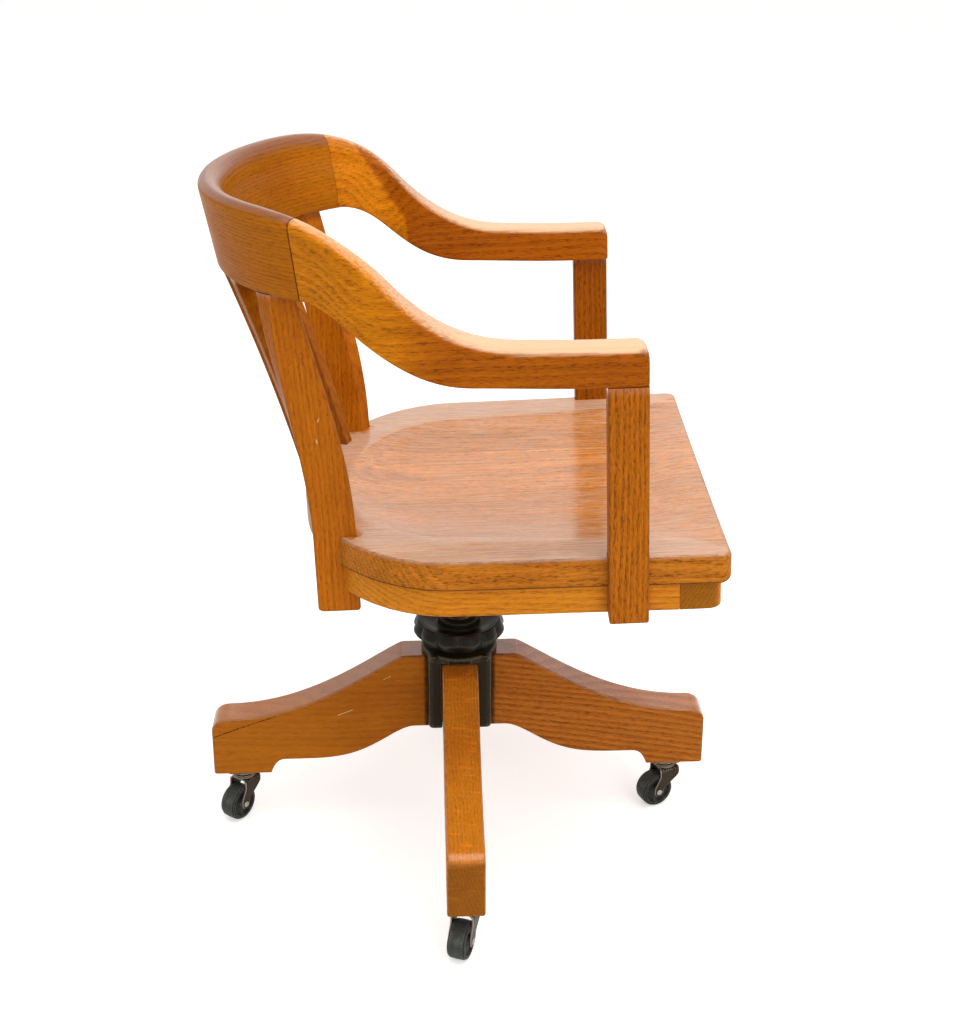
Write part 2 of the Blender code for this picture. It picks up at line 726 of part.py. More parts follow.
def post_bend(z):
    # Share of the backward lean that a back post has at z: a bend above the seat, then straight.
    def lean(height):
        past = max(0.0, height - SEAT_RIM_HEIGHT)
        return past * past / (2 * BACK_POST_BEND) if past < BACK_POST_BEND else past - BACK_POST_BEND / 2
    return lean(z) / lean(CREST_UNDER)


def back_post_ring(z, side, inset=0.0, heel=0.0):
    outer_foot, inner_foot, _, rear_foot = post_foot(1)
    share = min(max((z - SEAT_RIM_HEIGHT) / (CREST_UNDER - SEAT_RIM_HEIGHT), 0.0), 1.0)
    outer = outer_foot[0] + (BACK_POST_TOP - BACK_POST_FOOT) * share
    inner = outer - BACK_POST_THICK
    tops = (BACK_POST_TOP + BACK_POST_THICK / 2, BACK_POST_TOP - BACK_POST_THICK / 2)
    rear_radius = CREST_RADIUS - CREST_LEAN - BACK_POST_SETBACK
    front_radius = rear_radius - BACK_POST_TOP_DEPTH
    bend = post_bend(z)
    fronts = [foot[1] + (back_circle(top, front_radius) - foot[1]) * bend
              for foot, top in zip((outer_foot, inner_foot), tops)]
    rear_bend = ease(BACK_POST_REAR_BEND * share)
    rear_outer = rear_foot[1] + (back_circle(tops[0], rear_radius) - rear_foot[1]) * rear_bend
    bevel = back_circle(tops[1], rear_radius) - back_circle(tops[0], rear_radius)
    bevel *= share ** BACK_POST_BEVEL_RUN
    corners = [(outer - inset, fronts[0] + inset), (inner + inset, fronts[1] + inset),
               (inner + inset, rear_outer + bevel - inset - heel), (outer - inset, rear_outer - inset - heel)]
    outline = rounded(corners, [POST_EDGE] * 4, 2)
    return [(side * p.x, p.y, z) for p in outline]


foot_height = SKIRT_UNDER - BACK_POST_DROP
top_height = CREST_UNDER - CLEAR
for side_name, side in (("left", 1), ("right", -1)):
    rings = [back_post_ring(foot_height, side, 0.6 * POST_EDGE, 0.8 * BACK_POST_HEEL),
             back_post_ring(foot_height + 0.3 * BACK_POST_HEEL, side, 0.0, 0.25 * BACK_POST_HEEL),
             back_post_ring(foot_height + BACK_POST_HEEL, side)]
    for k in range(13):
        rings.append(back_post_ring(SEAT_RIM_HEIGHT + (top_height - SEAT_RIM_HEIGHT) * k / 12, side))
    mesh = loft(f"back_post_{side_name}", rings)
    mesh.transform(FROM_FLOOR)
    part(f"back_post_{side_name}", mesh, OAK, tilt_frame)


def slat_ring(middle, angle, z):
    along = Vector((math.cos(angle), -math.sin(angle))) * SLAT_WIDTH / 2
    out = Vector((math.sin(angle), math.cos(angle))) * SLAT_DEPTH / 2
    corners = [middle - along - out, middle + along - out, middle + along + out, middle - along + out]
    return [(*p, z) for p in rounded(corners, [SLAT_EDGE] * 4, 1)]


for number in range(SLAT_COUNT):
    step = number - (SLAT_COUNT - 1) / 2
    foot_x, top_angle = step * SLAT_FOOT_PITCH, step * SLAT_TOP_STEP
    top_radius = crest_radius(top_angle) - crest_lean(top_angle) - SLAT_TOP_SETBACK
    top = Vector((top_radius * math.sin(top_angle), BACK_CENTRE + top_radius * math.cos(top_angle)))
    foot_y = seat_edge(foot_x) - SLAT_SETBACK
    edge_slope = SEAT_REAR ** 2 * foot_x / (SEAT_HALF_WIDTH ** 2 * seat_edge(foot_x))
    foot_angle = math.atan(edge_slope)
    rings = []
    for k in range(9):
        share = k / 8
        middle = Vector((foot_x, foot_y)).lerp(top, share)
        middle.y -= 4 * SLAT_BOW * share * (1.0 - share)
        z = SEAT_RIM_HEIGHT + CLEAR + (CREST_LIFT - 2 * CLEAR) * share
        rings.append(slat_ring(middle, foot_angle + (top_angle - foot_angle) * share, z))
    mesh = loft(f"back_slat_{number + 1}", rings)
    mesh.transform(FROM_FLOOR)
    part(f"back_slat_{number + 1}", mesh, OAK, tilt_frame)

# Base: hub, legs and castors


def leg_outline():
    # Side view of a leg: (distance from the spindle, height), round by the top and back underneath.
    inner, reach, low = HUB_CORE / 2 + CLEAR, LEG_REACH, CASTOR_HEIGHT
    end_top = low + LEG_END_DEPTH
    shoulder, nose = HUB_WIDTH / 2 + LEG_SHOULDER, LEG_REACH - LEG_NOSE
    top_run = []
    for t in (k / 14 for k in range(15)):
        fall = ease(t ** LEG_TOP_SWEEP)
        top_run.append((shoulder + (nose - shoulder) * t, LEG_TOP + (end_top - LEG_TOP) * fall))
    end_round = [(reach - 0.4 * LEG_NOSE, end_top - 0.125 * LEG_NOSE_DROP),
                 (reach - 0.1 * LEG_NOSE, end_top - 0.5 * LEG_NOSE_DROP), (reach, end_top - LEG_NOSE_DROP)]
    pad = reach - LEG_PAD
    toe = [(reach, low + LEG_TOE_ROUND), (reach - LEG_TOE_ROUND, low), (pad, low)]
    web, hub_under = low + LEG_PAD_STEP, LEG_TOP - LEG_HUB_DEPTH
    step = [(pad - 0.23 * LEG_PAD_RUN, low + 0.6 * LEG_PAD_STEP),
            (pad - 0.55 * LEG_PAD_RUN, low + 0.85 * LEG_PAD_STEP)]
    start, heel = pad - LEG_PAD_RUN, HUB_WIDTH / 2 + LEG_HEEL
    under_run = []
    for t in (k / 12 for k in range(13)):
        under_run.append((start + (heel - start) * t, web + (hub_under - web) * ease(t ** LEG_UNDER_SWEEP)))
    return [(inner, LEG_TOP)] + top_run + end_round + toe + step + under_run + [(inner, hub_under)]


leg_mesh = slab("leg", [leg_outline()], LEG_THICK)
leg_mesh.transform(Matrix.Rotation(math.pi / 2, 4, "X"))
LEG_TURNS = {"rear": 90.0, "right": 180.0, "front": 270.0, "left": 0.0}
for leg_name, degrees in LEG_TURNS.items():
    leg = part(f"leg_{leg_name}", leg_mesh, OAK, base_frame, turn=(0.0, 0.0, math.radians(degrees)))
    round_edges(leg, LEG_EDGE, 2, 60.0)

half = HUB_WIDTH / 2
hub = part("hub", box("hub", (-half, -half, HUB_UNDER), (half, half, HUB_TOP)), IRON, base_frame)
round_edges(hub, HUB_EDGE)
slot_half = LEG_THICK / 2 + CLEAR
lip_top = HUB_LIP_UNDER + HUB_LIP_THICK
# Seen from outside, the recess over a lip widens upwards, where the corner columns are rounded off.
recess_half, above = HUB_LIP_WIDTH / 2, HUB_TOP + HUB_DEPTH
brow = HUB_TOP + 0.15 * HUB_SHOULDER_ROUND
recess_outline = rounded([(-recess_half, lip_top), (recess_half, lip_top), (recess_half, brow),
                          (HUB_WIDTH, brow), (HUB_WIDTH, above), (-HUB_WIDTH, above), (-HUB_WIDTH, brow),
                          (-recess_half, brow)],
                         [0.0, 0.0, HUB_SHOULDER_ROUND, 0.0, 0.0, 0.0, 0.0, HUB_SHOULDER_ROUND])
for leg_name, degrees in LEG_TURNS.items():
    spin = Matrix.Rotation(math.radians(degrees), 4, "Z")
    # The leg's slot, the recess above it and, between them, the lip over the leg's end.
    slot = box(f"hub_slot_{leg_name}", (HUB_CORE / 2, -slot_half, HUB_UNDER - HUB_DEPTH),
               (HUB_WIDTH, slot_half, HUB_LIP_UNDER))
    recess = slab(f"hub_recess_{leg_name}", [recess_outline], HUB_WIDTH - HUB_RECESS)
    recess.transform(Matrix.Translation(((HUB_WIDTH + HUB_RECESS) / 2, 0.0, 0.0)) @ STAND_UP)
    lip = box(f"hub_lip_{leg_name}", (HUB_CORE / 2, -0.47 * HUB_LIP_WIDTH, HUB_LIP_UNDER),
              (HUB_LIP_REACH, 0.47 * HUB_LIP_WIDTH, lip_top + 4 * WELD))
    for mesh, operation in ((slot, "DIFFERENCE"), (recess, "DIFFERENCE"), (lip, "UNION")):
        mesh.transform(spin)
        boolean(hub, cutter(mesh.name, mesh, base_frame), operation)
sleeve_radius = SPINDLE_RADIUS + RUNNING + SLEEVE_WALL
hub_bore = rod("hub_bore", sleeve_radius + RUNNING, HUB_UNDER - HUB_DEPTH, HUB_TOP + HUB_DEPTH, 32)
boolean(hub, cutter("hub_bore", hub_bore, base_frame), "DIFFERENCE")

# One castor's meshes, with its swivel axis as Z and its wheel trailing along +Y.
plate_half = CASTOR_PLATE / 2
plate_top = CASTOR_HEIGHT - CLEAR
race_under = plate_top - CASTOR_PLATE_THICK - CASTOR_RACE_THICK
crown_top = race_under - CLEAR
crown_under = crown_top - CASTOR_CROWN_DEPTH
cheek_inner = CASTOR_WHEEL_WIDTH / 2 + CASTOR_WHEEL_GAP
cheek_outer = cheek_inner + CASTOR_SHEET
hole_radius = KINGPIN_RADIUS + CLEAR


def circle(radius, count, middle=(0.0, 0.0)):
    angles = [2 * math.pi * k / count for k in range(count)]
    return [(middle[0] + radius * math.cos(a), middle[1] + radius * math.sin(a)) for a in angles]


square = [(-plate_half, -plate_half), (plate_half, -plate_half), (plate_half, plate_half),
          (-plate_half, plate_half)]
plate_mesh = slab("castor_plate", [rounded(square, [CASTOR_PLATE_CORNER] * 4, 2), circle(hole_radius, 16)],
                  CASTOR_PLATE_THICK)
plate_mesh.transform(Matrix.Translation((0.0, 0.0, plate_top - CASTOR_PLATE_THICK / 2)))
# The race laps a little into the plate, so that the two join.
race_tall = CASTOR_RACE_THICK + 0.5 * CASTOR_PLATE_THICK
race_mesh = slab("castor_race", [circle(CASTOR_RACE_RADIUS, 24), circle(hole_radius, 16)], race_tall)
race_mesh.transform(Matrix.Translation((0.0, 0.0, race_under + race_tall / 2)))
plate_maker = part("castor_plate", plate_mesh, BRONZE)
boolean(plate_maker, cutter("castor_race", race_mesh), "UNION")
castor_plate_mesh = finished_mesh(plate_maker, "castor_plate")

# The fork is one bent strip: a crown under the race and a cheek down each side of the wheel.
end, curve = CASTOR_CHEEK_END, CASTOR_CHEEK_CURVE
lead, tail = CASTOR_CROWN_LEAD, CASTOR_CROWN_TAIL
front, rear = CASTOR_TRAIL - end, CASTOR_TRAIL + end
cheek_corners = [(-lead, crown_top), (tail, crown_top), (tail, crown_under),
                 (rear, CASTOR_WHEEL_RADIUS + end), (rear, CASTOR_WHEEL_RADIUS - end),
                 (front, CASTOR_WHEEL_RADIUS - end), (front, CASTOR_WHEEL_RADIUS + 0.6 * end),
                 (-lead, crown_under)]
nip = 0.25 * curve
cheek = rounded(cheek_corners, [nip, nip, curve, curve, 0.99 * end, 0.99 * end, 0.6 * curve, curve], 3)
fork_mesh = slab("castor_fork", [cheek], 2 * cheek_outer)
fork_mesh.transform(STAND_UP)
fork_maker = part("castor_fork", fork_mesh, BRONZE)


def bent_strip(name, half_width, top, corner):
    low = -CASTOR_WHEEL_RADIUS
    outline = rounded([(-half_width, low), (half_width, low), (half_width, top), (-half_width, top)],
                      [0.0, 0.0, corner, corner], 4)
    mesh = slab(name, [outline], 4 * CASTOR_HEIGHT)
    mesh.transform(Matrix.Rotation(math.pi / 2, 4, "X"))
    return mesh


sheet = CASTOR_SHEET
outside = bent_strip("fork_outside", cheek_outer + WELD, crown_top + WELD, CASTOR_CROWN_ROUND)
boolean(fork_maker, cutter("fork_outside", outside), "INTERSECT")
inside = bent_strip("fork_inside", cheek_inner, crown_top - sheet, CASTOR_CROWN_ROUND - sheet)
boolean(fork_maker, cutter("fork_inside", inside), "DIFFERENCE")
axle_bore = lay_along_x(rod("axle_bore", CASTOR_AXLE_RADIUS + CLEAR, -2 * cheek_outer, 2 * cheek_outer, 12))
axle_bore.transform(Matrix.Translation((0.0, CASTOR_TRAIL, CASTOR_WHEEL_RADIUS)))
boolean(fork_maker, cutter("axle_bore", axle_bore), "DIFFERENCE")
kingpin = rod("kingpin", KINGPIN_RADIUS, crown_top - 0.5 * sheet, plate_top - RUNNING, 16)
boolean(fork_maker, cutter("kingpin", kingpin), "UNION")
castor_fork_mesh = finished_mesh(fork_maker, "castor_fork")
castor_fork_mesh = smooth_shaded(castor_fork_mesh)

width, radius = CASTOR_WHEEL_WIDTH, CASTOR_WHEEL_RADIUS
bore = CASTOR_AXLE_RADIUS + RUNNING
wheel_profile = [(bore, 0.5 * width), (0.30 * radius, 0.5 * width), (0.36 * radius, 0.38 * width),
                 (0.70 * radius, 0.38 * width), (0.76 * radius, 0.5 * width), (0.92 * radius, 0.48 * width),
                 (0.985 * radius, 0.36 * width), (radius, 0.0)]
wheel_profile = wheel_profile + [(r, -z) for r, z in reversed(wheel_profile[:-1])]
wheel_maker = turned("castor_wheel", wheel_profile, TREAD, steps=24)
castor_wheel_mesh = finished_mesh(wheel_maker, "castor_wheel")
lay_along_x(castor_wheel_mesh)

rivet_half = cheek_outer + CLEAR + CASTOR_RIVET_HEIGHT
axle_profile = [(0.0, rivet_half), (0.7 * CASTOR_RIVET_RADIUS, rivet_half),
                (CASTOR_RIVET_RADIUS, rivet_half - 0.5 * CASTOR_RIVET_HEIGHT),
                (CASTOR_RIVET_RADIUS, cheek_outer + CLEAR), (CASTOR_AXLE_RADIUS, cheek_outer + CLEAR)]
axle_profile = axle_profile + [(r, -z) for r, z in reversed(axle_profile)]
axle_maker = turned("castor_axle", axle_profile, STEEL, steps=12)
castor_axle_mesh = finished_mesh(axle_maker, "castor_axle")
lay_along_x(castor_axle_mesh)

for leg_name, degrees in LEG_TURNS.items():
    angle = math.radians(degrees)
    reach = FRONT_CASTOR_REACH if leg_name == "front" else CASTOR_REACH
    place = (reach * math.cos(angle), reach * math.sin(angle), 0.0)
    part(f"castor_plate_{leg_name}", castor_plate_mesh, BRONZE, base_frame, place, (0.0, 0.0, angle))
    swing = (0.0, 0.0, math.radians(CASTOR_TURNS[leg_name]) - BASE_TURN)
    fork = part(f"castor_fork_{leg_name}", castor_fork_mesh, BRONZE, base_frame, place, swing)
    axle_place = (0.0, CASTOR_TRAIL, CASTOR_WHEEL_RADIUS)
    part(f"castor_axle_{leg_name}", castor_axle_mesh, STEEL, fork, axle_place)
    part(f"castor_wheel_{leg_name}", castor_wheel_mesh, TREAD, fork, axle_place)

# Swivel sleeve, handwheel and spindle

sleeve_bore = SPINDLE_RADIUS + RUNNING
flange_under = HUB_TOP + CLEAR
turned("swivel_sleeve", [(sleeve_bore, flange_under + SLEEVE_FLANGE_THICK),
                         (SLEEVE_FLANGE, flange_under + SLEEVE_FLANGE_THICK), (SLEEVE_FLANGE, flange_under),
                         (sleeve_radius, flange_under), (sleeve_radius, HUB_UNDER), (sleeve_bore, HUB_UNDER)],
       IRON, spindle_frame)


def lobed(radius, depth, count):
    # A ring with round lobes, the hollows between them cut to the given depth.
    points = []
    for k in range(count):
        angle = 2 * math.pi * k / count
        lobe = abs(math.sin(WHEEL_LOBES * angle / 2)) ** WHEEL_LOBE_FULLNESS
        reach = radius - depth * (1.0 - lobe)
        points.append((reach * math.cos(angle), reach * math.sin(angle)))
    return points


wheel_bore = SPINDLE_RADIUS + RUNNING
# Rings of the handwheel as (share of its radius, share of the lobes, share of its height): the
# underside, the lobes that slope in to the dish's rim, the dish and the raised boss round the screw.
wheel_steps = [(WHEEL_NECK / WHEEL_RADIUS, 0.0, 0.0), (0.87, 0.5, 0.03), (0.955, 1.0, 0.16),
               (1.0, 1.0, 0.36), (0.975, 1.0, 0.50), (0.90, 0.7, 0.70), (0.87, 0.0, 0.74),
               (0.845, 0.0, 0.75), (0.80, 0.0, 0.66), (0.70, 0.0, 0.48), (0.47, 0.0, 0.40),
               (0.43, 0.0, 0.79), (0.39, 0.0, 0.82),
               (wheel_bore / WHEEL_RADIUS, 0.0, 0.82), (wheel_bore / WHEEL_RADIUS, 0.0, 0.0)]
rings = []
for reach, lobe_share, level in wheel_steps:
    z = WHEEL_UNDER + level * WHEEL_HEIGHT
    ring = lobed(reach * WHEEL_RADIUS, lobe_share * WHEEL_LOBE_DEPTH, 6 * WHEEL_LOBES)
    rings.append([(x, y, z) for x, y in ring])
part("handwheel", loft("handwheel", rings, wrap=True), IRON, spindle_frame)

boss_under = TILT_HEIGHT - YOKE_BARREL_RADIUS - YOKE_BOSS_HEIGHT + YOKE_NECK_LAP
spindle_top = boss_under + YOKE_SOCKET - CLEAR
spindle_low = HUB_TOP - SPINDLE_TAIL
chamfer = SPINDLE_CHAMFER
turned("spindle", [(0.0, spindle_top), (SPINDLE_RADIUS - chamfer, spindle_top),
                   (SPINDLE_RADIUS, spindle_top - chamfer), (SPINDLE_RADIUS, spindle_low + chamfer),
                   (SPINDLE_RADIUS - chamfer, spindle_low), (0.0, spindle_low)], STEEL, spindle_frame)

# Tilting iron

yoke = part("tilt_yoke", rod("tilt_yoke", YOKE_BOSS_RADIUS, boss_under, TILT_HEIGHT, 32), IRON, spindle_frame)
barrel = lay_along_x(rod("yoke_barrel", YOKE_BARREL_RADIUS, -YOKE_BARREL_HALF, YOKE_BARREL_HALF, 24))
barrel.transform(Matrix.Translation((0.0, 0.0, TILT_HEIGHT)))
boolean(yoke, cutter("yoke_barrel", barrel, spindle_frame), "UNION")
axle_hole_mesh = lay_along_x(rod("yoke_bore", TILT_AXLE_RADIUS + RUNNING, -2 * YOKE_BARREL_HALF,
                                 2 * YOKE_BARREL_HALF, 20))
axle_hole_mesh.transform(Matrix.Translation((0.0, 0.0, TILT_HEIGHT)))
boolean(yoke, cutter("yoke_bore", axle_hole_mesh, spindle_frame), "DIFFERENCE")
socket = rod("yoke_socket", SPINDLE_RADIUS + CLEAR, boss_under - YOKE_SOCKET, boss_under + YOKE_SOCKET, 32)
boolean(yoke, cutter("yoke_socket", socket, spindle_frame), "DIFFERENCE")

plate_top_z = IRON_DROP - CLEAR
plate_low_z = plate_top_z - IRON_PLATE
ear_inner = YOKE_BARREL_HALF + CLEAR
ear_outer = ear_inner + IRON_EAR
iron_half = ear_outer + IRON_BODY_MARGIN
iron = part("seat_iron", box("seat_iron", (-iron_half, -IRON_BODY_HALF, plate_low_z),
                             (iron_half, IRON_BODY_HALF, plate_top_z)), IRON, tilt_frame)
for arm_name, degrees in (("a", 45.0), ("b", -45.0)):
    outline = rounded([(-IRON_REACH, -IRON_ARM / 2), (IRON_REACH, -IRON_ARM / 2), (IRON_REACH, IRON_ARM / 2),
                       (-IRON_REACH, IRON_ARM / 2)], [IRON_ARM / 2] * 4, 5)
    # The arms are thinner than the body by a hair, and each by its own, so no two faces coincide.
    inset = 8 * WELD if arm_name == "a" else 16 * WELD
    mesh = slab(f"iron_arm_{arm_name}", [outline], IRON_PLATE - inset)
    mesh.transform(Matrix.Translation((0.0, 0.0, plate_top_z - IRON_PLATE / 2)))
    mesh.transform(Matrix.Rotation(math.radians(degrees), 4, "Z"))
    boolean(iron, cutter(f"iron_arm_{arm_name}", mesh, tilt_frame), "UNION")
ear_hole = circle(TILT_AXLE_RADIUS + CLEAR, 20)
ear_top = plate_low_z + 0.5 * IRON_PLATE
ear = [(-IRON_EAR_RADIUS * IRON_EAR_SPREAD, ear_top)]
ear += [(IRON_EAR_RADIUS * math.sin(a), -IRON_EAR_RADIUS * math.cos(a))
        for a in (math.radians(75.0) * (k / 5 - 1.0) for k in range(11))]
ear += [(IRON_EAR_RADIUS * IRON_EAR_SPREAD, ear_top)]
for ear_name, ear_side in (("right", -1), ("left", 1)):
    mesh = slab(f"iron_ear_{ear_name}", [ear, ear_hole], IRON_EAR)
    mesh.transform(STAND_UP)
    mesh.transform(Matrix.Translation((ear_side * (ear_inner + IRON_EAR / 2), 0.0, 0.0)))
    boolean(iron, cutter(f"iron_ear_{ear_name}", mesh, tilt_frame), "UNION")

head_half = ear_outer + CLEAR + TILT_AXLE_HEAD_THICK
pin_profile = [(0.0, head_half), (TILT_AXLE_HEAD, head_half), (TILT_AXLE_HEAD, ear_outer + CLEAR),
               (TILT_AXLE_RADIUS, ear_outer + CLEAR)]
pin_profile = pin_profile + [(r, -z) for r, z in reversed(pin_profile)]
pin_maker = turned("tilt_axle", pin_profile, STEEL, steps=20)
part("tilt_axle", lay_along_x(finished_mesh(pin_maker, "tilt_axle")), STEEL, tilt_frame)


def spring_points(side):
    # From a foot that bears under the plate behind the axle, round the barrel, to a foot hanging in front.
    coil = (YOKE_BARREL_RADIUS + SPRING_WIRE + CLEAR) / math.cos(math.pi / SPRING_POINTS)
    start_x = YOKE_BARREL_HALF - 1.5 * SPRING_WIRE
    points = [Vector((side * start_x, coil, plate_low_z - SPRING_WIRE - CLEAR)),
              Vector((side * start_x, coil, 0.5 * plate_low_z))]
    count = round(SPRING_CURLS * SPRING_POINTS)
    for k in range(count + 1):
        turn = 2 * math.pi * k / SPRING_POINTS
        x = start_x - SPRING_PITCH * k / SPRING_POINTS
        points.append(Vector((side * x, coil * math.cos(turn), -coil * math.sin(turn))))
    last_x = start_x - SPRING_PITCH * SPRING_CURLS
    points.append(Vector((side * last_x, points[-1].y, -SPRING_FOOT)))
    return points


def least_gap(points, wire):
    # Least clear distance between stretches of the wire that aren't neighbours along it.
    apart = []
    for i, a in enumerate(points):
        for b in points[i + SPRING_POINTS // 2 + 2:]:
            apart.append((a - b).length - 2 * wire)
    return min(apart)


for side_name, side in (("left", 1), ("right", -1)):
    route = spring_points(side)
    print(f"tilt_spring_{side_name} least gap to itself: {least_gap(route, SPRING_WIRE) * 1000:.2f} mm")
    curve = bpy.data.curves.new(f"tilt_spring_{side_name}", "CURVE")
    curve.dimensions = "3D"
    curve.bevel_depth = SPRING_WIRE
    curve.bevel_resolution = 1
    curve.use_fill_caps = True
    spline = curve.splines.new("POLY")
    spline.points.add(len(route) - 1)
    for knot, point in zip(spline.points, route):
        knot.co = (*point, 1.0)
    curve.materials.append(STEEL)
    spring = bpy.data.objects.new(f"tilt_spring_{side_name}", curve)
    spring.parent = tilt_frame
    chair.objects.link(spring)
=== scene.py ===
import json
import math

import bmesh
import bpy
from mathutils import Matrix, Vector


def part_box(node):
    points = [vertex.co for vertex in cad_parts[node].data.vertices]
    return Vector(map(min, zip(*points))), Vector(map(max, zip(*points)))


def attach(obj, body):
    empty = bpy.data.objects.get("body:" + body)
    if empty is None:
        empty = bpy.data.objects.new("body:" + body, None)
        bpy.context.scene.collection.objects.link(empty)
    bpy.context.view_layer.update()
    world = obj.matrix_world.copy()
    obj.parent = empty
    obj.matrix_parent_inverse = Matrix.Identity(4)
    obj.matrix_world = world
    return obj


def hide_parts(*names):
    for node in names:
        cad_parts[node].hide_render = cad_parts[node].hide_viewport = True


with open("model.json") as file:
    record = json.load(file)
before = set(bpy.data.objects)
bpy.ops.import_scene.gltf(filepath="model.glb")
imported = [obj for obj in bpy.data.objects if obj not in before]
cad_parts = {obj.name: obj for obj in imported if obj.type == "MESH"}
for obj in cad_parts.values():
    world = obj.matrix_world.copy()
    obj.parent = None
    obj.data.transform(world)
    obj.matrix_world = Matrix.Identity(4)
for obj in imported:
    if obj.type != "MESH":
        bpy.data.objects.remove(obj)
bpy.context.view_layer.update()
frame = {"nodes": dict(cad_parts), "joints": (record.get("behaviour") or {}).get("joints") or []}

# Oak swivel armchair: fine meshes, finishes, floor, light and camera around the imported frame.
# Metres, +Z up, the chair faces -Y.
scene = bpy.context.scene
joints = {joint["name"]: joint for joint in frame["joints"]}

clear = 0.0003      # gap between pieces that touch
running = 0.0004    # gap between pieces that turn
sharpEdge = 32.0    # faces that meet at more degrees than this keep a crisp edge
timberStep = 5.3    # how far apart along the grain two pieces lie in their timber
overcut = {"x": 0.01, "y": 0.03, "z": 0.05}    # how far a cutter stands out of what it cuts
flatTurn, edgeTurn = 70.0, 260.0    # radians per metre, on a surface that counts as flat and as an edge
bothSides = (("Left", 1), ("Right", -1))
tiltPoint = Vector(joints["seat_tilt"]["pos_m"])
seatRake = math.radians(1.9)
baseTurn = math.radians(1.0)
# The seat and back are laid out level, with heights from the floor, and lean about the tilt axle.
seatPlace = (Matrix.Translation(tiltPoint) @ Matrix.Rotation(-seatRake, 4, "X")
             @ Matrix.Translation(-tiltPoint))
basePlace = Matrix.Rotation(baseTurn, 4, "Z")
acrossX = Matrix.Rotation(math.pi / 2, 4, "Y")    # lays a turned piece along X


# Mesh helpers

def ease(t):
    t = min(max(t, 0.0), 1.0)
    return t * t * (3.0 - 2.0 * t)


def spread(count):
    # shares from 0 to 1, closer together at both ends
    return [0.5 - 0.5 * math.cos(math.pi * k / count) for k in range(count + 1)]


def quarter(count):
    # (out, up) shares round a quarter circle, from the side to the top
    turns = [math.pi / 2 * k / count for k in range(count + 1)]
    return [(math.cos(turn), math.sin(turn)) for turn in turns]


def atAngle(reach, angle, z):
    return reach * math.cos(angle), reach * math.sin(angle), z


def roundedOutline(corners, radii, steps, fills=None):
    # closed outline with an arc at each corner and some points along the side that follows it
    count = len(corners)
    arcs = []
    for i, corner in enumerate(corners):
        here = Vector(corner)
        back = Vector(corners[i - 1]) - here
        ahead = Vector(corners[(i + 1) % count]) - here
        half = back.angle(ahead) / 2
        # an arc takes less than half of a side that has another at its far end
        room = min((0.45 if radii[i - 1] else 0.95) * back.length,
                   (0.45 if radii[(i + 1) % count] else 0.95) * ahead.length)
        radius = min(radii[i], room * math.tan(half))
        if radii[i] == 0.0:
            arcs.append([here])
            continue
        before, after = back.normalized(), ahead.normalized()
        middle = here + (before + after).normalized() * (radius / math.sin(half))
        start = here + before * (radius / math.tan(half)) - middle
        end = here + after * (radius / math.tan(half)) - middle
        sweep = start.angle_signed(end)
        arc = []
        for k in range(steps + 1):
            spun = start.copy()
            spun.rotate(Matrix.Rotation(-sweep * k / steps, 2))
            arc.append(middle + spun)
        arcs.append(arc)
    points = []
    for i, arc in enumerate(arcs):
        points += arc
        following = arcs[(i + 1) % count][0]
        fill = fills[i] if fills else 0
        if fill:
            points += [arc[-1].lerp(following, share) for share in spread(fill + 1)[1:-1]]
    return points


def roundedBox(low, high, radii, steps, fills):
    # the outline of a rectangle; the fills are for its level and its upright sides
    corners = [low, (high[0], low[1]), high, (low[0], high[1])]
    return roundedOutline(corners, radii, steps, fills * 2)


def shaded(mesh, sharp=sharpEdge):
    mesh.shade_smooth()
    mesh.set_sharp_from_angle(angle=math.radians(sharp))
    return mesh


def meshOf(name, shape, sharp=sharpEdge):
    mesh = bpy.data.meshes.new(name)
    shape.to_mesh(mesh)
    shape.free()
    return shaded(mesh, sharp)


def loft(name, rings, wrap=False, sharp=sharpEdge):
    # rings with equal counts of points, skinned in order
    shape = bmesh.new()
    loops = [[shape.verts.new(point) for point in ring] for ring in rings]
    following = loops[1:] + loops[:1] if wrap else loops[1:]
    for low, high in zip(loops, following):
        for i in range(len(low)):
            j = (i + 1) % len(low)
            shape.faces.new((low[i], low[j], high[j], high[i]))
    if not wrap:
        shape.faces.new(loops[0])
        shape.faces.new(loops[-1])
    bmesh.ops.recalc_face_normals(shape, faces=shape.faces)
    return meshOf(name, shape, sharp)


def lathe(name, profile, steps=48):
    # a closed profile of (radius, height) points turned about Z
    turns = [2 * math.pi * k / steps for k in range(steps)]
    return loft(name, [[atAngle(max(r, 1e-5), turn, z) for r, z in profile] for turn in turns], True)


def insetOutline(points, distance):
    # an outline drawn in along its own normals; it runs anticlockwise
    drawn = []
    for i, point in enumerate(points):
        here = Vector(point)
        along = (Vector(points[(i + 1) % len(points)]) - here).normalized()
        before = (here - Vector(points[i - 1])).normalized()
        normal = (Vector((-along.y, along.x)) + Vector((-before.y, before.x))).normalized()
        drawn.append(here + normal * (distance / max(0.5, normal.dot(Vector((-along.y, along.x))))))
    return drawn


def pillow(name, outline, low, high, edge):
    # an outline in XY given a thickness from low to high, with rounded edges
    rings = [(edge * (1 - out), high - edge * (1 - up)) for out, up in quarter(3)]
    support = 1.4 * edge
    levels = [(edge + support, high)] + list(reversed(rings))
    levels += [(0.0, high - edge - support), (0.0, low + edge + support)]
    levels += [(inset, low + high - z) for inset, z in rings] + [(edge + support, low)]
    return loft(name, [[(*p, z) for p in insetOutline(outline, inset)] for inset, z in levels])


def finished(thing, name):
    # the evaluated mesh of a helper object, which then goes
    bpy.context.view_layer.update()
    seen = thing.evaluated_get(bpy.context.evaluated_depsgraph_get())
    mesh = bpy.data.meshes.new_from_object(seen)
    mesh.name = name
    bpy.data.objects.remove(thing, do_unlink=True)
    return mesh


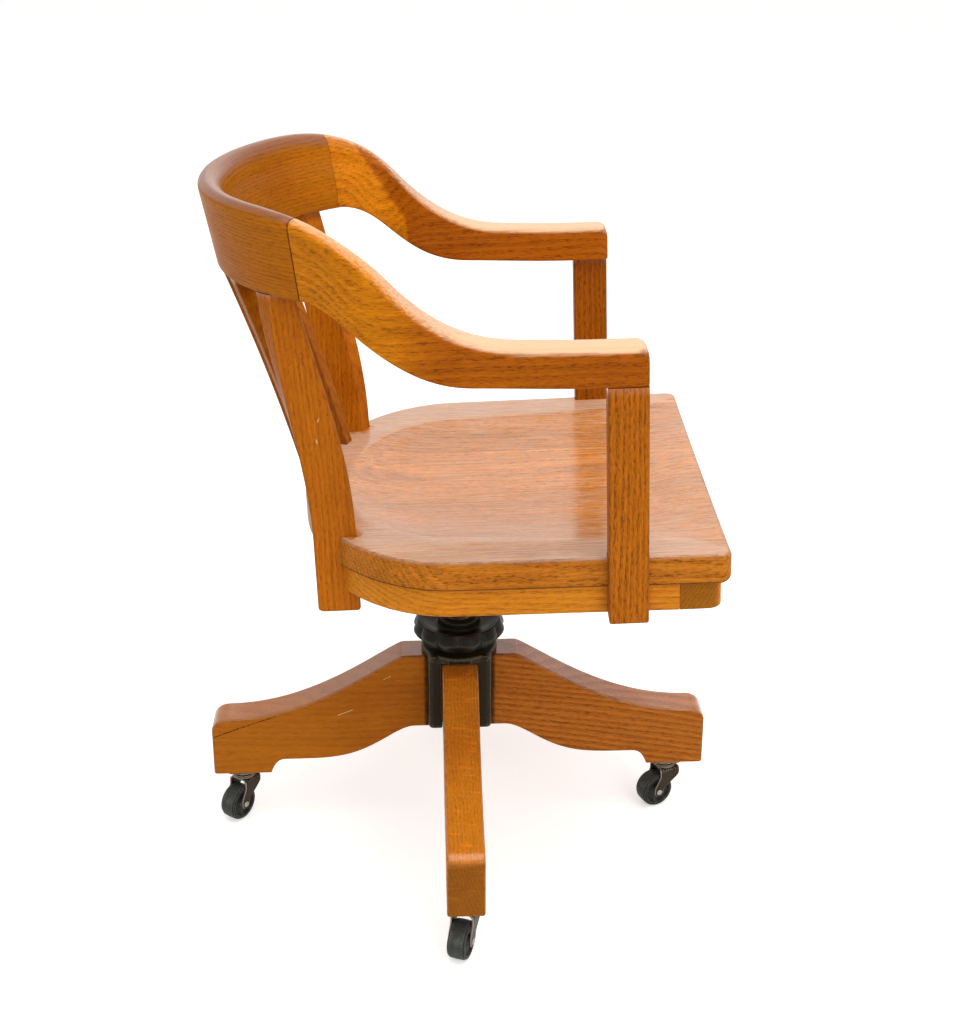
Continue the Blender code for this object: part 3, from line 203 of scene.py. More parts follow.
def helper(name, mesh):
    thing = bpy.data.objects.new(name, mesh)
    scene.collection.objects.link(thing)
    return thing


def cutAway(name, mesh, cutters):
    thing = helper(name, mesh)
    tools = [helper(f"{name}_cutter", cutter) for cutter in cutters]
    for tool in tools:
        cut = thing.modifiers.new("cut", "BOOLEAN")
        cut.operation = "DIFFERENCE"
        cut.solver = "EXACT"
        cut.object = tool
    mesh = finished(thing, name)
    for tool in tools:
        bpy.data.objects.remove(tool, do_unlink=True)
    return shaded(mesh)


def blockMesh(name, low, high):
    shape = bmesh.new()
    bmesh.ops.create_cube(shape, size=1.0)
    low, high = Vector(low), Vector(high)
    bmesh.ops.scale(shape, vec=high - low, verts=shape.verts)
    bmesh.ops.translate(shape, vec=(low + high) / 2, verts=shape.verts)
    return meshOf(name, shape)


def joined(name, meshes):
    shape = bmesh.new()
    for mesh in meshes:
        shape.from_mesh(mesh)
    return meshOf(name, shape)


def copied(mesh, matrix):
    twin = mesh.copy()
    twin.transform(matrix)
    return twin


def casting(node, voxel, rounds, flange=None):
    # a cast iron piece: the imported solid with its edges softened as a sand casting's are
    shape = bmesh.new()
    shape.from_mesh(frame["nodes"][node].data)
    bmesh.ops.remove_doubles(shape, verts=shape.verts, dist=0.00005)
    if flange:
        shape.from_mesh(flange)
    thing = helper(f"{node}_casting", meshOf(f"{node}_casting", shape))
    remesh = thing.modifiers.new("voxels", "REMESH")
    remesh.mode = "VOXEL"
    remesh.voxel_size = voxel
    soften = thing.modifiers.new("soften", "SMOOTH")
    soften.factor = 0.5
    soften.iterations = rounds
    mesh = finished(thing, f"{node}_casting")
    mesh.shade_smooth()
    return mesh


def paint(mesh, grainOf=None, upward=0.0, **stains):
    # Attributes that the finishes read: how tightly the surface turns, from 0 on a flat to 1 on an edge;
    # how far it faces up, where rags polished it; where it is dirty, worn bare or of another tone, and with
    # these the painted shade, painted sheen and painted highlights laid on some pieces; and where a point lies
    # in its own board (along, across, deep).
    shape = bmesh.new()
    shape.from_mesh(mesh)
    shape.normal_update()
    share = [face.calc_area() / len(face.verts) for face in shape.faces]
    values = {"edge": [], "polish": []}
    for vert in shape.verts:
        area = sum(share[face.index] for face in vert.link_faces)
        bend = sum(edge.calc_face_angle_signed(0.0) * edge.calc_length() for edge in vert.link_edges)
        turn = bend / max(2 * area, 1e-12)
        worn = ease((turn - flatTurn) / (edgeTurn - flatTurn))
        values["edge"].append(worn * (1.0 - upward + upward * min(max(0.35 + vert.normal.z, 0.0), 1.0)))
        values["polish"].append(ease((vert.normal.z - 0.15) / 0.6))
    for label, plain in (("soil", 0.0), ("worn", 0.0), ("tone", 1.0)):
        stainAndShading = stains.get(label, lambda point, normal: plain)
        values[label] = [stainAndShading(vert.co, vert.normal) for vert in shape.verts]
    shape.free()
    for label, given in values.items():
        mesh.attributes.new(label, "FLOAT", "POINT").data.foreach_set("value", given)
    if grainOf:
        places = [c for vert in mesh.vertices for c in grainOf(vert.co)]
        mesh.attributes.new("grain", "FLOAT_VECTOR", "POINT").data.foreach_set("vector", places)
    return mesh


def addPiece(name, mesh, material, body, nodes, matrix=None):
    thing = helper(name, mesh)
    mesh.materials.clear()
    mesh.materials.append(material)
    thing.matrix_world = matrix or Matrix()
    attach(thing, body)
    if nodes:
        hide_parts(*nodes)


def addTimber(name, mesh, material, node):
    addPiece(name, mesh, material, "seat", [node], seatPlace)


# Shader helpers

class Wire:
    # an output socket; sums and products of wires add Math nodes to its tree
    def __init__(self, tree, socket):
        self.tree, self.socket = tree, socket

    def __add__(self, other):
        return calc("ADD", self, other)

    def __sub__(self, other):
        return calc("SUBTRACT", self, other)

    def __mul__(self, other):
        return calc("MULTIPLY", self, other)

    def __truediv__(self, other):
        return calc("DIVIDE", self, other)


def addNode(tree, kind, **settings):
    made = tree.nodes.new("ShaderNode" + kind)
    for key, value in settings.items():
        setattr(made, key, value)
    return made


def feed(tree, socket, value):
    if isinstance(value, Wire):
        tree.links.new(value.socket, socket)
    elif value is not None:
        socket.default_value = value


def feedAll(tree, made, **values):
    for label, value in values.items():
        feed(tree, made.inputs[label.replace("_", " ")], value)


def calc(operation, first, *others):
    made = addNode(first.tree, "Math", operation=operation)
    for socket, value in zip(made.inputs, (first, *others)):
        feed(first.tree, socket, value)
    return Wire(first.tree, made.outputs[0])


def vectorCalc(operation, first, second=None, out=0):
    made = addNode(first.tree, "VectorMath", operation=operation)
    feed(first.tree, made.inputs[0], first)
    feed(first.tree, made.inputs["Scale" if operation == "SCALE" else 1], second)
    return Wire(first.tree, made.outputs[out])


def cloud(place, stretch, detail=2.0, rough=0.5, out="Fac"):
    # noise whose cells are 1 / stretch long on each axis
    made = addNode(place.tree, "TexNoise")
    feedAll(place.tree, made, Vector=vectorCalc("MULTIPLY", place, stretch), Scale=1.0, Detail=detail,
            Roughness=rough)
    return Wire(place.tree, made.outputs[out])


def between(value, low, high, start=0.0, end=1.0):
    made = addNode(value.tree, "MapRange", interpolation_type="SMOOTHSTEP")
    for socket, given in zip(made.inputs, (value, low, high, start, end)):
        feed(value.tree, socket, given)
    return Wire(value.tree, made.outputs[0])


def mix(how, factor, a, b):
    tree = next(value.tree for value in (factor, a, b) if isinstance(value, Wire))
    made = addNode(tree, "Mix", data_type="RGBA", blend_type=how)
    for number, value in ((0, factor), (6, a), (7, b)):
        feed(tree, made.inputs[number], value)
    return Wire(tree, made.outputs[2])


def readAttribute(tree, name, out="Fac"):
    return Wire(tree, addNode(tree, "Attribute", attribute_name=name).outputs[out])


def objectPoint(tree):
    return Wire(tree, addNode(tree, "TexCoord").outputs["Object"])


def makeGroup(name, fill, inputs, outputs):
    # the inputs become the arguments of fill, which gives the outputs in turn
    group = bpy.data.node_groups.new(name, "ShaderNodeTree")
    for sockets, way in ((inputs, "INPUT"), (outputs, "OUTPUT")):
        for label, kind in sockets.items():
            group.interface.new_socket(label, in_out=way, socket_type="NodeSocket" + kind)
    taken = group.nodes.new("NodeGroupInput").outputs
    given = group.nodes.new("NodeGroupOutput").inputs
    for label, result in zip(outputs, fill(*(Wire(group, taken[label]) for label in inputs))):
        feed(group, given[label], result)
    return group


def useGroup(tree, group, look=None, **values):
    # a socket's value comes from the call, or from the entry of the look that has its name
    made = addNode(tree, "Group", node_tree=group)
    given = {**(look or {}), **values}
    for socket in made.inputs:
        first, *more = socket.name.split()
        feed(tree, socket, given.get(first.lower() + "".join(more)))
    return {socket.name: Wire(tree, socket) for socket in made.outputs}


# Oak as it grew: rings round a pith that lies along the board, open pores, streaks and ray flecks
def oakGrainNodes(place, pale, deep, pith, ringStep, rings, wander, dash, cut, pores, streaks, flecks):
    drift = vectorCalc("SUBTRACT", cloud(place, (2.6, 12.0, 12.0), out="Color"), (0.5, 0.5, 0.5))
    drift = vectorCalc("SCALE", vectorCalc("MULTIPLY", drift, (0.0, 2.0, 2.0)), wander)
    grain = vectorCalc("ADD", place, drift)
    fromPith = vectorCalc("MULTIPLY", vectorCalc("SUBTRACT", grain, pith), (0.0, 1.0, 1.0))
    years = vectorCalc("LENGTH", fromPith, out="Value") / ringStep
    tooth = calc("FRACT", years + cloud(grain, (3.0, 30.0, 30.0), 1.0) * 1.6)
    spring = between(tooth, 0.0, 0.14) * between(tooth, 0.2, 0.85, 1.0, 0.0)
    # long dashes that show from afar, most of them in the spring wood, and fine pores between them
    dashes = between(cloud(grain, dash, 2.0, 0.6), cut, cut + 0.06)
    fine = between(cloud(grain, (75.0, 1300.0, 1300.0), 1.0), 0.57, 0.68)
    holes = calc("MAXIMUM", dashes * (spring * 0.55 + 0.45), fine * 0.45)
    streak = cloud(grain, (8.0, 380.0, 380.0), 3.0, 0.65)
    broad = cloud(grain, (2.4, 34.0, 34.0))
    rays = between(cloud(grain, (95.0, 30.0, 520.0), 1.0), 0.56, 0.74)
    swing = (streak - 0.5) * 1.3 + (broad - 0.5) * 0.8
    tone = swing * streaks + 1.0 + rays * (flecks * 0.4)
    colour = mix("MIX", spring * rings, pale, deep)
    colour = vectorCalc("SCALE", colour, calc("MAXIMUM", tone, 0.2))
    colour = mix("MIX", holes * pores, colour, vectorCalc("SCALE", deep, 0.40))
    return colour, streak * 0.3 - holes


# Old varnish over it: darker blotches, rubbed edges, grime beside them, and a gloss where it is polished; the
# pale tops are partly worn bare and partly painted sheen, and the soil tint lays painted shade too
varnishTints = {
    "blotch": (0.66, 0.46, 0.36, 1), "edge": (0.105, 0.026, 0.006, 1), "soil": (0.055, 0.018, 0.006, 1),
    "grime": (0.07, 0.024, 0.008, 1)}


def oldVarnishNodes(wood, grain, edge, polish, wear, grimy, darkEdge, blotch, gloss, shine, topWear, topTint,
                    soiled, worn, tone, redden, bare, roughness):
    patch = between(cloud(grain, (7.0, 16.0, 16.0), 3.0, 0.6), 0.47, 0.70)
    burnt = mix("MULTIPLY", 1.0, wood, varnishTints["blotch"])
    colour = mix("MIX", patch * blotch, wood, burnt)
    ragged = cloud(grain, (30.0, 110.0, 110.0), 4.0, 0.65) - 0.5
    rubbing = edge + ragged * 1.5
    browned = between(rubbing, 0.35, 0.75) * darkEdge
    streaky = cloud(grain, (24.0, 320.0, 320.0), 3.0, 0.6) - 0.5
    # pale tops where the worn attribute is high: partly worn bare, partly painted sheen
    handledAndSheen = between(streaky * 1.1 + worn, 0.2, 1.0)
    rubbedAndSheen = calc("MAXIMUM", between(rubbing, 0.52, 0.82) * wear, handledAndSheen * topWear)
    specks = between(cloud(grain, (60.0, 170.0, 170.0), 3.0, 0.6), 0.54, 0.64)
    grime = specks * between(edge, 0.1, 0.45) * grimy
    # soil: real soil, darkened joints, and painted shade along the seat's lower edge and beside the hub
    soil = calc("MINIMUM", soiled * (ragged + 1.0), 1.0)
    # the darker timber of one board may be redder too
    shade = addNode(tone.tree, "CombineXYZ")
    feedAll(tone.tree, shade, X=tone, Y=calc("POWER", tone, redden), Z=tone)
    colour = vectorCalc("MULTIPLY", colour, Wire(tone.tree, shade.outputs["Vector"]))
    colour = mix("MULTIPLY", polish, colour, topTint)
    for mask, tint in ((browned, varnishTints["edge"]), (rubbedAndSheen, bare), (soil, varnishTints["soil"]),
                       (grime, varnishTints["grime"])):
        colour = mix("MIX", mask, colour, tint)
    uneven = cloud(grain, (14.0, 40.0, 40.0), 3.0) - 0.5
    rough = uneven * 0.16 + roughness + rubbedAndSheen * 0.15 + grime * 0.2
    coat = between(polish, 0.0, 1.0, gloss, shine) * (rubbedAndSheen * -0.4 + 1.0)
    return colour, rough, calc("MAXIMUM", coat - (grime + soil) * 0.5, 0.0)


# Boards glued edge to edge: each has its own stretch of grain and its own tone
def gluedBoardsNodes(grain, width, offset):
    tree = grain.tree
    split, shift = addNode(tree, "SeparateXYZ"), addNode(tree, "CombineXYZ")
    luck = addNode(tree, "TexWhiteNoise", noise_dimensions="1D")
    feedAll(tree, split, Vector=grain)
    places = (Wire(tree, split.outputs["Y"]) + offset) / width
    number = calc("FLOOR", places)
    feedAll(tree, luck, W=number)
    feedAll(tree, shift, X=number * 3.7)
    moved = vectorCalc("ADD", grain, Wire(tree, shift.outputs["Vector"]))
    near = calc("ABSOLUTE", calc("FRACT", places) - 0.5)
    return moved, Wire(tree, luck.outputs["Value"]), between(near, 0.492, 0.5)


# A straight scratch or nick between two points of the piece
def scratchNodes(point, start, end, width):
    along = vectorCalc("SUBTRACT", end, start)
    fromStart = vectorCalc("SUBTRACT", point, start)
    share = (vectorCalc("DOT_PRODUCT", fromStart, along, "Value")
             / vectorCalc("DOT_PRODUCT", along, along, "Value"))
    share = calc("MINIMUM", calc("MAXIMUM", share, 0.0), 1.0)
    away = vectorCalc("SUBTRACT", fromStart, vectorCalc("SCALE", along, share))
    inside = between(vectorCalc("LENGTH", away, out="Value") / width, 0.4, 1.0, 1.0, 0.0)
    broken = between(cloud(point, (420.0, 420.0, 420.0)), 0.36, 0.5)
    return (inside * broken,)


# Metal worn by use: bright edges, partly real wear and partly painted highlight, and brown freckles
def wornMetalNodes(place, edge, coating, bright, rust, wear, freckled, roughness, cell):
    scaled = vectorCalc("SCALE", place, cell)
    fine = cloud(scaled, (1.0, 1.0, 1.0), 3.0, 0.6)
    cast = cloud(scaled, (4.0, 4.0, 4.0), 2.0, 0.6)
    slow = cloud(scaled, (0.16, 0.16, 0.16), 3.0, 0.6)
    # bright edges: real wear and painted highlight, such as the line along the hub's lip
    rubbedAndSheen = between(edge + (fine - 0.5) * 1.3, 0.45, 0.85) * wear
    freckles = between(slow, 0.48, 0.70) * freckled
    colour = vectorCalc("SCALE", coating, (fine - 0.5) * 1.2 + 1.0)
    colour = mix("MIX", freckles, colour, rust)
    colour = mix("MIX", rubbedAndSheen, colour, bright)
    rough = (slow - 0.5) * 0.3 + roughness + freckles * 0.2
    return colour, rough, cast * 0.5 + fine * 0.6


def socketKinds(labels, **kinds):
    # plain numbers, apart from the sockets named for another kind
    listed = {label: "Float" for label in labels.split(", ")}
    for kind, named in kinds.items():
        listed.update({label: kind for label in named.split(", ")})
    return listed


oakGrain = makeGroup(
    "oakGrain", oakGrainNodes,
    socketKinds("Grain, Pale, Deep, Pith, Ring Step, Rings, Wander, Dash, Cut, Pores, Streaks, Flecks",
                Vector="Grain, Pith, Dash", Color="Pale, Deep"),
    {"Color": "Color", "Height": "Float"})
oldVarnish = makeGroup(
    "oldVarnish", oldVarnishNodes,
    socketKinds("Color, Grain, Edge, Polish, Wear, Grime, Dark Edge, Blotch, Gloss, Shine, Top Wear, Top Tint, "
                "Soil, Worn, Tone, Redden, Bare, Roughness", Vector="Grain", Color="Color, Top Tint, Bare"),
    {"Color": "Color", "Roughness": "Float", "Coat": "Float"})
gluedBoards = makeGroup(
    "gluedBoards", gluedBoardsNodes, {"Grain": "Vector", "Board Width": "Float", "Offset": "Float"},
    {"Grain": "Vector", "Tone": "Float", "Seam": "Float"})
scratch = makeGroup(
    "scratch", scratchNodes, {"Point": "Vector", "Start": "Vector", "End": "Vector", "Width": "Float"},
    {"Mask": "Float"})
wornMetal = makeGroup(
    "wornMetal", wornMetalNodes,
    socketKinds("Place, Edge, Coating, Bright, Rust, Wear, Freckles, Roughness, Cell", Vector="Place",
                Color="Coating, Bright, Rust"),
    {"Color": "Color", "Roughness": "Float", "Height": "Float"})

oakFinish = {
    "pale": (0.50, 0.145, 0.007, 1), "deep": (0.27, 0.064, 0.003, 1), "bare": (0.62, 0.36, 0.13, 1),
    "topTint": (1, 1, 1, 1), "pith": (0.0, 0.05, -0.16), "ringStep": 0.0042, "rings": 0.3, "wander": 0.006,
    "dash": (110.0, 680.0, 680.0), "cut": 0.53, "pores": 0.42, "streaks": 0.45, "flecks": 0.3, "wear": 0.12,
    "topWear": 0.0, "grime": 0.3, "darkEdge": 0.2, "blotch": 0.3, "gloss": 0.04, "shine": 0.8,
    "roughness": 0.40, "coatRoughness": 0.18, "bump": 0.16, "redden": 1.0, "boards": None, "marks": []}
metalFinish = {
    "coating": (0.019, 0.014, 0.004, 1), "bright": (0.20, 0.17, 0.12, 1), "rust": (0.05, 0.028, 0.010, 1),
    "wear": 0.4, "freckles": 0.3, "roughness": 0.45, "cell": 300.0, "bump": 0.25, "metallic": 0.0,
    "specular": 0.14, "band": None, "specks": [], "speckTint": (0.8, 0.8, 0.76, 1)}


def newMaterial(name):
    material = bpy.data.materials.new(name)
    material.use_nodes = True
    return material, material.node_tree, material.node_tree.nodes["Principled BSDF"]


def roughen(tree, shader, height, strength, distance):
    bump = addNode(tree, "Bump")
    feedAll(tree, bump, Strength=strength, Distance=distance, Height=height)
    feedAll(tree, shader, Normal=Wire(tree, bump.outputs["Normal"]))


def makeOak(name, **changes):
    look = {**oakFinish, **changes}
    material, tree, shader = newMaterial(name)
    grain = boardGrain = readAttribute(tree, "grain", "Vector")
    if look["boards"]:
        boards = useGroup(tree, gluedBoards, grain=grain, boardWidth=look["boards"], offset=0.028)
        boardGrain = boards["Grain"]
    oak = useGroup(tree, oakGrain, look, grain=boardGrain)
    colour = oak["Color"]
    if look["boards"]:
        colour = vectorCalc("SCALE", colour, boards["Tone"] * 0.24 + 0.88)
        colour = mix("MIX", boards["Seam"] * 0.5, colour, look["deep"])
    painted = {label: readAttribute(tree, label) for label in ("edge", "polish", "soil", "worn", "tone")}
    finish = useGroup(tree, oldVarnish, look, color=colour, grain=grain, **painted)
    colour = finish["Color"]
    for start, end, width, tint in look["marks"]:
        mark = useGroup(tree, scratch, point=objectPoint(tree), start=start, end=end, width=width)
        colour = mix("MIX", mark["Mask"], colour, tint)
    feedAll(tree, shader, Base_Color=colour, Roughness=finish["Roughness"], Coat_Weight=finish["Coat"],
            Specular_IOR_Level=0.03, Coat_Roughness=look["coatRoughness"])
    roughen(tree, shader, oak["Height"], look["bump"], 0.0008)
    return material


def makeMetal(name, **changes):
    look = {**metalFinish, **changes}
    material, tree, shader = newMaterial(name)
    point = objectPoint(tree)
    coating = look["coating"]
    if look["band"]:
        # a wheel's sides are darker than its tread
        radius, sides = look["band"]
        reach = vectorCalc("LENGTH", vectorCalc("MULTIPLY", point, (0.0, 1.0, 1.0)), out="Value")
        coating = mix("MIX", between(reach, 0.955 * radius, 0.98 * radius), sides, coating)
    metal = useGroup(tree, wornMetal, look, place=point, edge=readAttribute(tree, "edge"), coating=coating)
    colour = metal["Color"]
    for spot, size in look["specks"]:
        mark = useGroup(tree, scratch, point=point, start=spot, end=[c + size for c in spot], width=2.2 * size)
        colour = mix("MIX", mark["Mask"], colour, look["speckTint"])
    feedAll(tree, shader, Base_Color=colour, Roughness=metal["Roughness"], Metallic=look["metallic"],
            Specular_IOR_Level=look["specular"])
    roughen(tree, shader, metal["Height"], look["bump"], 0.0005)
    return material


# scratches, dings and a crack: start, end, width and colour
paleMark, darkMark = (0.66, 0.42, 0.18, 1), (0.05, 0.016, 0.005, 1)
backPostMarks = [((-0.170, 0.1422, 0.6179), (-0.170, 0.1442, 0.6129), 0.0011, paleMark),
                 ((-0.1695, 0.1472, 0.5914), (-0.1695, 0.1462, 0.5874), 0.0011, paleMark)]
rearLegMarks = [((0.3085, 0.0217, 0.1238), (0.2765, 0.0217, 0.1364), 0.0010, darkMark),
                ((0.2765, 0.0217, 0.1364), (0.2319, 0.0217, 0.1517), 0.0009, darkMark),
                ((0.1530, 0.0217, 0.1518), (0.1352, 0.0217, 0.1588), 0.0009, paleMark),
                ((0.0953, 0.0217, 0.2015), (0.0865, 0.0217, 0.2057), 0.0008, paleMark)]
sideLegMarks = [((0.104, 0.0065, 0.2262), (0.096, 0.0178, 0.2315), 0.0013, paleMark)]

# seat oak: its pale pinkish bare colour on the rim is partly painted sheen
seatOak = makeOak("seatOak", boards=0.118, pale=(0.57, 0.190, 0.015, 1), deep=(0.33, 0.090, 0.006, 1), wear=0.2,
                  pores=0.75, cut=0.54, streaks=0.85, flecks=0.35, topWear=0.78, bare=(0.575, 0.42, 0.325, 1),
                  roughness=0.34, coatRoughness=0.17, pith=(0.0, 0.03, -0.09))
skirtOak = makeOak("skirtOak", pale=(0.70, 0.250, 0.016, 1), deep=(0.42, 0.116, 0.007, 1),
                   pith=(0.0, 0.4, 0.3), blotch=0.2)
# arm oak: its pale cream bare colour on the tops is partly painted sheen
armOak = makeOak("armOak", wear=0.15, topWear=0.75, grime=0.35, darkEdge=0.3, pith=(0.0, 0.5, 0.2), shine=0.6,
                 pale=(0.65, 0.214, 0.005, 1), deep=(0.39, 0.104, 0.003, 1), ringStep=0.0035, redden=1.54,
                 pores=0.58, streaks=0.55, bare=(0.76, 0.52, 0.31, 1))
crestOak = makeOak("crestOak", pale=(0.44, 0.136, 0.003, 1), deep=(0.27, 0.067, 0.002, 1), grime=0.5,
                   darkEdge=0.5, blotch=0.4, pith=(0.0, 0.10, 0.78), ringStep=0.0045, wear=0.06, shine=1.0,
                   coatRoughness=0.38, topTint=(0.50, 0.42, 0.5, 1))
frontPostOak = makeOak("frontPostOak", pale=(0.49, 0.142, 0.006, 1), deep=(0.22, 0.050, 0.003, 1), pores=0.6,
                       cut=0.50, dash=(130.0, 850.0, 850.0), pith=(0.0, 0.16, 0.10), ringStep=0.0032, wear=0.05)
# a darker copy of the front posts' oak for the left post: painted shade
farPostOak = makeOak("farPostOak", pale=(0.37, 0.100, 0.004, 1), deep=(0.19, 0.042, 0.002, 1), pores=0.6,
                     cut=0.51, dash=(130.0, 850.0, 850.0), pith=(0.0, 0.2, 0.12), ringStep=0.0032, wear=0.05)
backPostOak = makeOak("backPostOak", pale=(0.50, 0.141, 0.005, 1), deep=(0.27, 0.063, 0.003, 1), blotch=0.5,
                      pith=(0.0, 0.3, 0.3), wear=0.06, marks=backPostMarks)
slatOak = makeOak("slatOak", pale=(0.40, 0.115, 0.004, 1), deep=(0.25, 0.057, 0.003, 1), pith=(0.0, 0.3, 0.2),
                  wear=0.05)
frontLegOak = makeOak("frontLegOak", pale=(0.50, 0.158, 0.018, 1), deep=(0.20, 0.048, 0.005, 1), rings=0.42,
                      ringStep=0.0075, pith=(0.0, 0.05, 0.22), wander=0.010, pores=0.5, cut=0.52, shine=1.0,
                      dash=(120.0, 800.0, 800.0))
rearLegOak = makeOak("rearLegOak", pale=(0.44, 0.138, 0.008, 1), deep=(0.27, 0.072, 0.005, 1), rings=0.2,
                     ringStep=0.009, pith=(0.0, 0.03, -0.05), wander=0.016, pores=0.25, streaks=0.22,
                     shine=1.0, marks=rearLegMarks)
sideLegOak = makeOak("sideLegOak", pale=(0.62, 0.205, 0.014, 1), deep=(0.38, 0.105, 0.007, 1), flecks=0.7,
                     pith=(0.0, 0.3, 0.05), rings=0.15, streaks=0.3, marks=sideLegMarks)
dishSpecks = [((-0.021, 0.0248, 0.282), 0.0012), ((-0.046, -0.026, 0.283), 0.0010)]    # place and size
castIron = makeMetal("castIron")
dishIron = makeMetal("dishIron", coating=(0.009, 0.0095, 0.006, 1), bright=(0.10, 0.10, 0.085, 1), wear=0.2,
                     roughness=0.34, specks=dishSpecks)
bronzedSteel = makeMetal("bronzedSteel", coating=(0.036, 0.027, 0.017, 1), bright=(0.34, 0.29, 0.23, 1),
                         wear=0.8, metallic=0.6, roughness=0.42, cell=420.0, bump=0.12)
agedSteel = makeMetal("agedSteel", coating=(0.13, 0.12, 0.10, 1), bright=(0.5, 0.48, 0.44, 1), wear=0.6,
                      metallic=1.0, roughness=0.36, cell=500.0, bump=0.1, freckles=0.5)
hardTread = makeMetal("hardTread", coating=(0.042, 0.047, 0.042, 1), bright=(0.13, 0.135, 0.13, 1), wear=0.3,
                      rust=(0.16, 0.165, 0.155, 1), roughness=0.55, cell=520.0, bump=0.3,
                      band=(0.0222, (0.014, 0.015, 0.013, 1)))
print("finishes:", len(bpy.data.materials), "materials from", len(bpy.data.node_groups), "node groups")


# Which way the grain runs in a piece; each piece comes from its own stretch of timber
def straightGrain(axis, number, middle=(0.0, 0.0, 0.0), slope=0.0):
    order = {"x": (0, 1, 2), "y": (1, 0, 2), "z": (2, 0, 1)}[axis]

    def grainOf(point):
        along, across, deep = (point[i] - middle[i] for i in order)
        return along + timberStep * number, across, deep + slope * along
    return grainOf


def bentGrain(centre, radius, number, height):
    # follows the horseshoe: straight along both arms and round the back
    def grainOf(point):
        y = point[1] - centre
        if y < 0.0:
            along, deep = (y if point[0] > 0 else math.pi * radius - y), abs(point[0])
        else:
            along, deep = radius * math.atan2(y, point[0]), math.hypot(point[0], y)
        return along + timberStep * number, deep - radius, point[2] - height
    return grainOf


# Seat
seat = {
    "rim": 0.4717, "thick": 0.0341, "front": 0.2957, "rear": 0.180, "halfWidth": 0.239, "flare": 0.006,
    "corner": 0.012, "edge": 0.0035, "frontEdge": 0.0045, "lowEdge": 0.0012, "frontLowEdge": 0.006,
    "dirtTop": 0.0026, "scoopHalf": 0.1765, "scoopRear": 0.130, "scoopSplay": 0.030, "scoopFlare": 0.022,
    "flareRun": 0.051, "scoopDepth": 0.012, "scoopRound": 3, "scoopSquare": 24, "scoopFade": 0.100,
    "frontDip": 0.2}
seatUnder = seat["rim"] - seat["thick"]


def seatSide(y):
    if y > 0.0:
        return seat["halfWidth"] * math.sqrt(max(0.0, 1.0 - (y / seat["rear"]) ** 2))
    return seat["halfWidth"] + seat["flare"] * (-y / seat["front"])


def seatEdge(x):
    return seat["rear"] * math.sqrt(max(0.0, 1.0 - (x / seat["halfWidth"]) ** 2))


def seatOutline(inset, frontInset):
    # frontInset draws in the front edge more than the sides and rear
    half = seatSide(-seat["front"]) - inset
    front = -seat["front"] + frontInset
    corner = seat["corner"] - inset
    right = [(half * (1 - corner / half) * k / 20, front) for k in range(20)]
    for out, up in reversed(quarter(10)):
        right.append((half - corner + corner * out, front + corner - corner * up))
    for k in range(1, 31):
        y = (front + corner) * (1.0 - k / 30)
        right.append((seatSide(y) - inset, y))
    for k in range(1, 57):
        angle = math.pi / 2 * k / 56
        right.append(((seat["halfWidth"] - inset) * math.cos(angle),
                      (seat["rear"] - inset) * math.sin(angle)))
    return right + [(-x, y) for x, y in reversed(right[1:-1])]


def scoopHalf(y):
    # splays towards the front and flares out to the corners there
    if y > 0.0:
        return seat["scoopHalf"]
    flare = ease((seat["flareRun"] - y - seat["front"]) / seat["flareRun"])
    return seat["scoopHalf"] - seat["scoopSplay"] * y / seat["front"] + seat["scoopFlare"] * flare


def scoopReach(x, y):
    if y > 0.0:
        return math.hypot(x / seat["scoopHalf"], y / seat["scoopRear"])
    front, power = seat["front"] - 2.0 * seat["edge"], seat["scoopSquare"]
    return ((abs(x) / scoopHalf(y)) ** power + (-y / front) ** power) ** (1 / power)


def scoopHeight(x, y):
    reach = scoopReach(x, y) if y > 0.0 else abs(x) / scoopHalf(y)
    fade = seat["frontDip"] + (1.0 - seat["frontDip"]) * ease((y + seat["front"]) / seat["scoopFade"])
    return seat["rim"] - seat["scoopDepth"] * fade * (1.0 - min(reach, 1.0) ** seat["scoopRound"])


def scoopShare(x, y):
    # how far out from the middle, as a share of this point's distance, the scoop's edge lies
    share = 1.0
    for _ in range(6):
        share /= scoopReach(x * share, y * share)
    return share


def frontRoll(y, edge, front):
    # the radius of an edge that rolls over more at the front
    return edge + (front - edge) * ease((-y - seat["front"] + 2.2 * front) / (1.6 * front))


